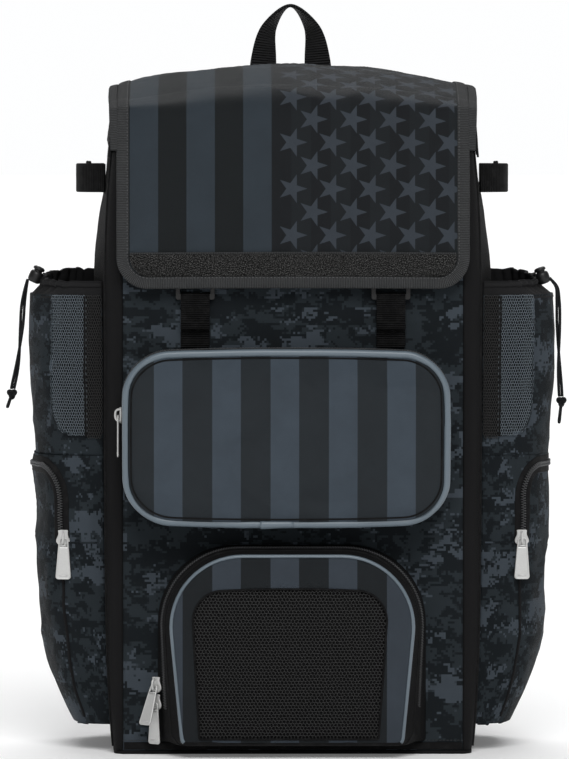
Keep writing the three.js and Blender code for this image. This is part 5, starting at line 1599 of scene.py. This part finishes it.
def make_slider(zip_name):
    """The slider: a waisted body with two round lobes, and a bridge over it."""
    node = zip_name + "_slider"
    middle = directions(node)[0]
    out = unit(directions(zip_name + "_pull")[3] * (1, 1, 0))
    down = np.array([0.0, 0.0, -1.0])
    side = np.cross(out, down)
    low = middle - out * 3.5
    angle = np.linspace(0, 2 * np.pi, 32, endpoint=False)
    c, d = np.cos(angle), np.sin(angle)
    flat, thick = np.sign(c) * np.abs(c) ** 0.5, np.sign(d) * np.abs(d) ** 0.6
    halves = spline(SLIDER_HALVES, 4)
    high = 1.7 + 1.3 * thick * (1 - 0.25 * flat**2)
    rows = [low + down * l + side * (w * flat)[:, None] + out * high[:, None] for l, w in halves]
    body = closed_grid(node + "_body", np.array(rows))
    arch_line = np.array([low + down * l + out * h for l, h in spline(BRIDGE, 6)])
    bridge = tube(node + "_bridge", arch_line, 1.05, 10, up=side)
    dress(joined(node + "_dressed", [body, bridge]), "metal", node)


# Hard pieces that keep their frame's shape
def finish_hard_pieces():
    for zip_name, body in PULLS.items():
        make_pull(zip_name, body)
        make_slider(zip_name)
    for node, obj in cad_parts.items():
        if not node.startswith(("buckle", "strap_adjuster")):
            continue
        obj.data.materials.clear()
        obj.data.materials.append(FINISHES["plastic"][0])
        modifier(obj, "BEVEL", width=0.6 * MM, segments=4, limit_method="ANGLE", angle_limit=math.radians(38))
        for polygon in obj.data.polygons:
            polygon.use_smooth = True
        modifier(obj, "WEIGHTED_NORMAL", keep_sharp=True)


# The studio: the sky's brightness at the sine of a height above the horizon
SKY = [(0.0, 1.0), (0.05, 1.0), (0.11, 0.24), (1.0, 0.2)]
FLOOR_GLOW = 0.12
FLOOR_REACH = 60000
FLOOR_LEVEL = -0.2
LIGHTS = {
    "soft_key": {"strength": 2.05, "angle": 34, "rise": 42, "turn": -6},
    "soft_fill": {"strength": 1.5, "angle": 40, "rise": 60, "turn": 180},
}
CAMERA = {"target": (-7.5, -115, 330.4), "turn": 0.5, "rise": 2.2, "far": 6.0, "high": 0.6679}


def away_at(given):
    """The direction away from the object at a turn round it and a rise above the floor, in degrees."""
    turn, rise = math.radians(given["turn"]), math.radians(given["rise"])
    return Vector((-math.sin(turn) * math.cos(rise), -math.cos(turn) * math.cos(rise), math.sin(rise)))


def make_camera():
    away = away_at(CAMERA)
    data = bpy.data.cameras.new("camera")
    data.sensor_width = 36
    data.lens = 36 * CAMERA["far"] / CAMERA["high"]
    data.clip_end = 200
    camera = bpy.data.objects.new("camera", data)
    camera.location = Vector(CAMERA["target"]) * MM + away * CAMERA["far"]
    camera.rotation_euler = (-away).to_track_quat("-Z", "Y").to_euler()
    SCENE.collection.objects.link(camera)
    SCENE.camera = camera


def make_stage():
    """A wide pale floor under a studio sky: pale at the horizon and dim above it."""
    x = np.array([-FLOOR_REACH, 0, FLOOR_REACH])
    p = np.stack(np.broadcast_arrays(x[None], x[:, None], FLOOR_LEVEL), -1)
    floor = grid_mesh("studio_floor", p, None, (0, 0, -9000))
    n = Nodes("studio_white")
    place = n.make("ShaderNodeTexCoord").outputs["Object"]
    shade = n.colour(n.noise(place, 900, 2), (0.9, 0.9, 0.905), (0.93, 0.93, 0.93))
    floor.data.materials.append(n.finish(shade, 0.8, None, 0.2))
    n.shader.inputs["Emission Color"].default_value = (1, 1, 1, 1)
    n.shader.inputs["Emission Strength"].default_value = FLOOR_GLOW

    world = bpy.data.worlds.new("studio")
    SCENE.world = world
    world.use_nodes = True
    tree = world.node_tree
    background = tree.nodes["Background"]
    place = tree.nodes.new("ShaderNodeTexCoord")
    parts = tree.nodes.new("ShaderNodeSeparateXYZ")
    sky = tree.nodes.new("ShaderNodeValToRGB")
    tree.links.new(place.outputs["Generated"], parts.inputs[0])
    tree.links.new(parts.outputs[2], sky.inputs[0])
    tree.links.new(sky.outputs[0], background.inputs[0])
    bands = sky.color_ramp.elements
    for at, _ in SKY[2:]:
        bands.new(at)
    for band, (at, level) in zip(bands, SKY):
        band.position = at
        band.color = (level * 0.99, level * 0.995, level, 1)

    for name, given in LIGHTS.items():
        data = bpy.data.lights.new(name, "SUN")
        data.energy = given["strength"]
        data.angle = math.radians(given["angle"])
        light = bpy.data.objects.new(name, data)
        light.rotation_euler = away_at(given).to_track_quat("Z", "Y").to_euler()
        SCENE.collection.objects.link(light)
    SCENE.view_settings.view_transform = "Standard"


make_camera()
make_cords()
make_stage()
make_body()
make_lid()
make_lid_straps()
make_handle()
make_upper_pocket()
make_lower_pocket()
make_side_pockets()
make_bat_straps()
make_shoulder_straps()
finish_hard_pieces()
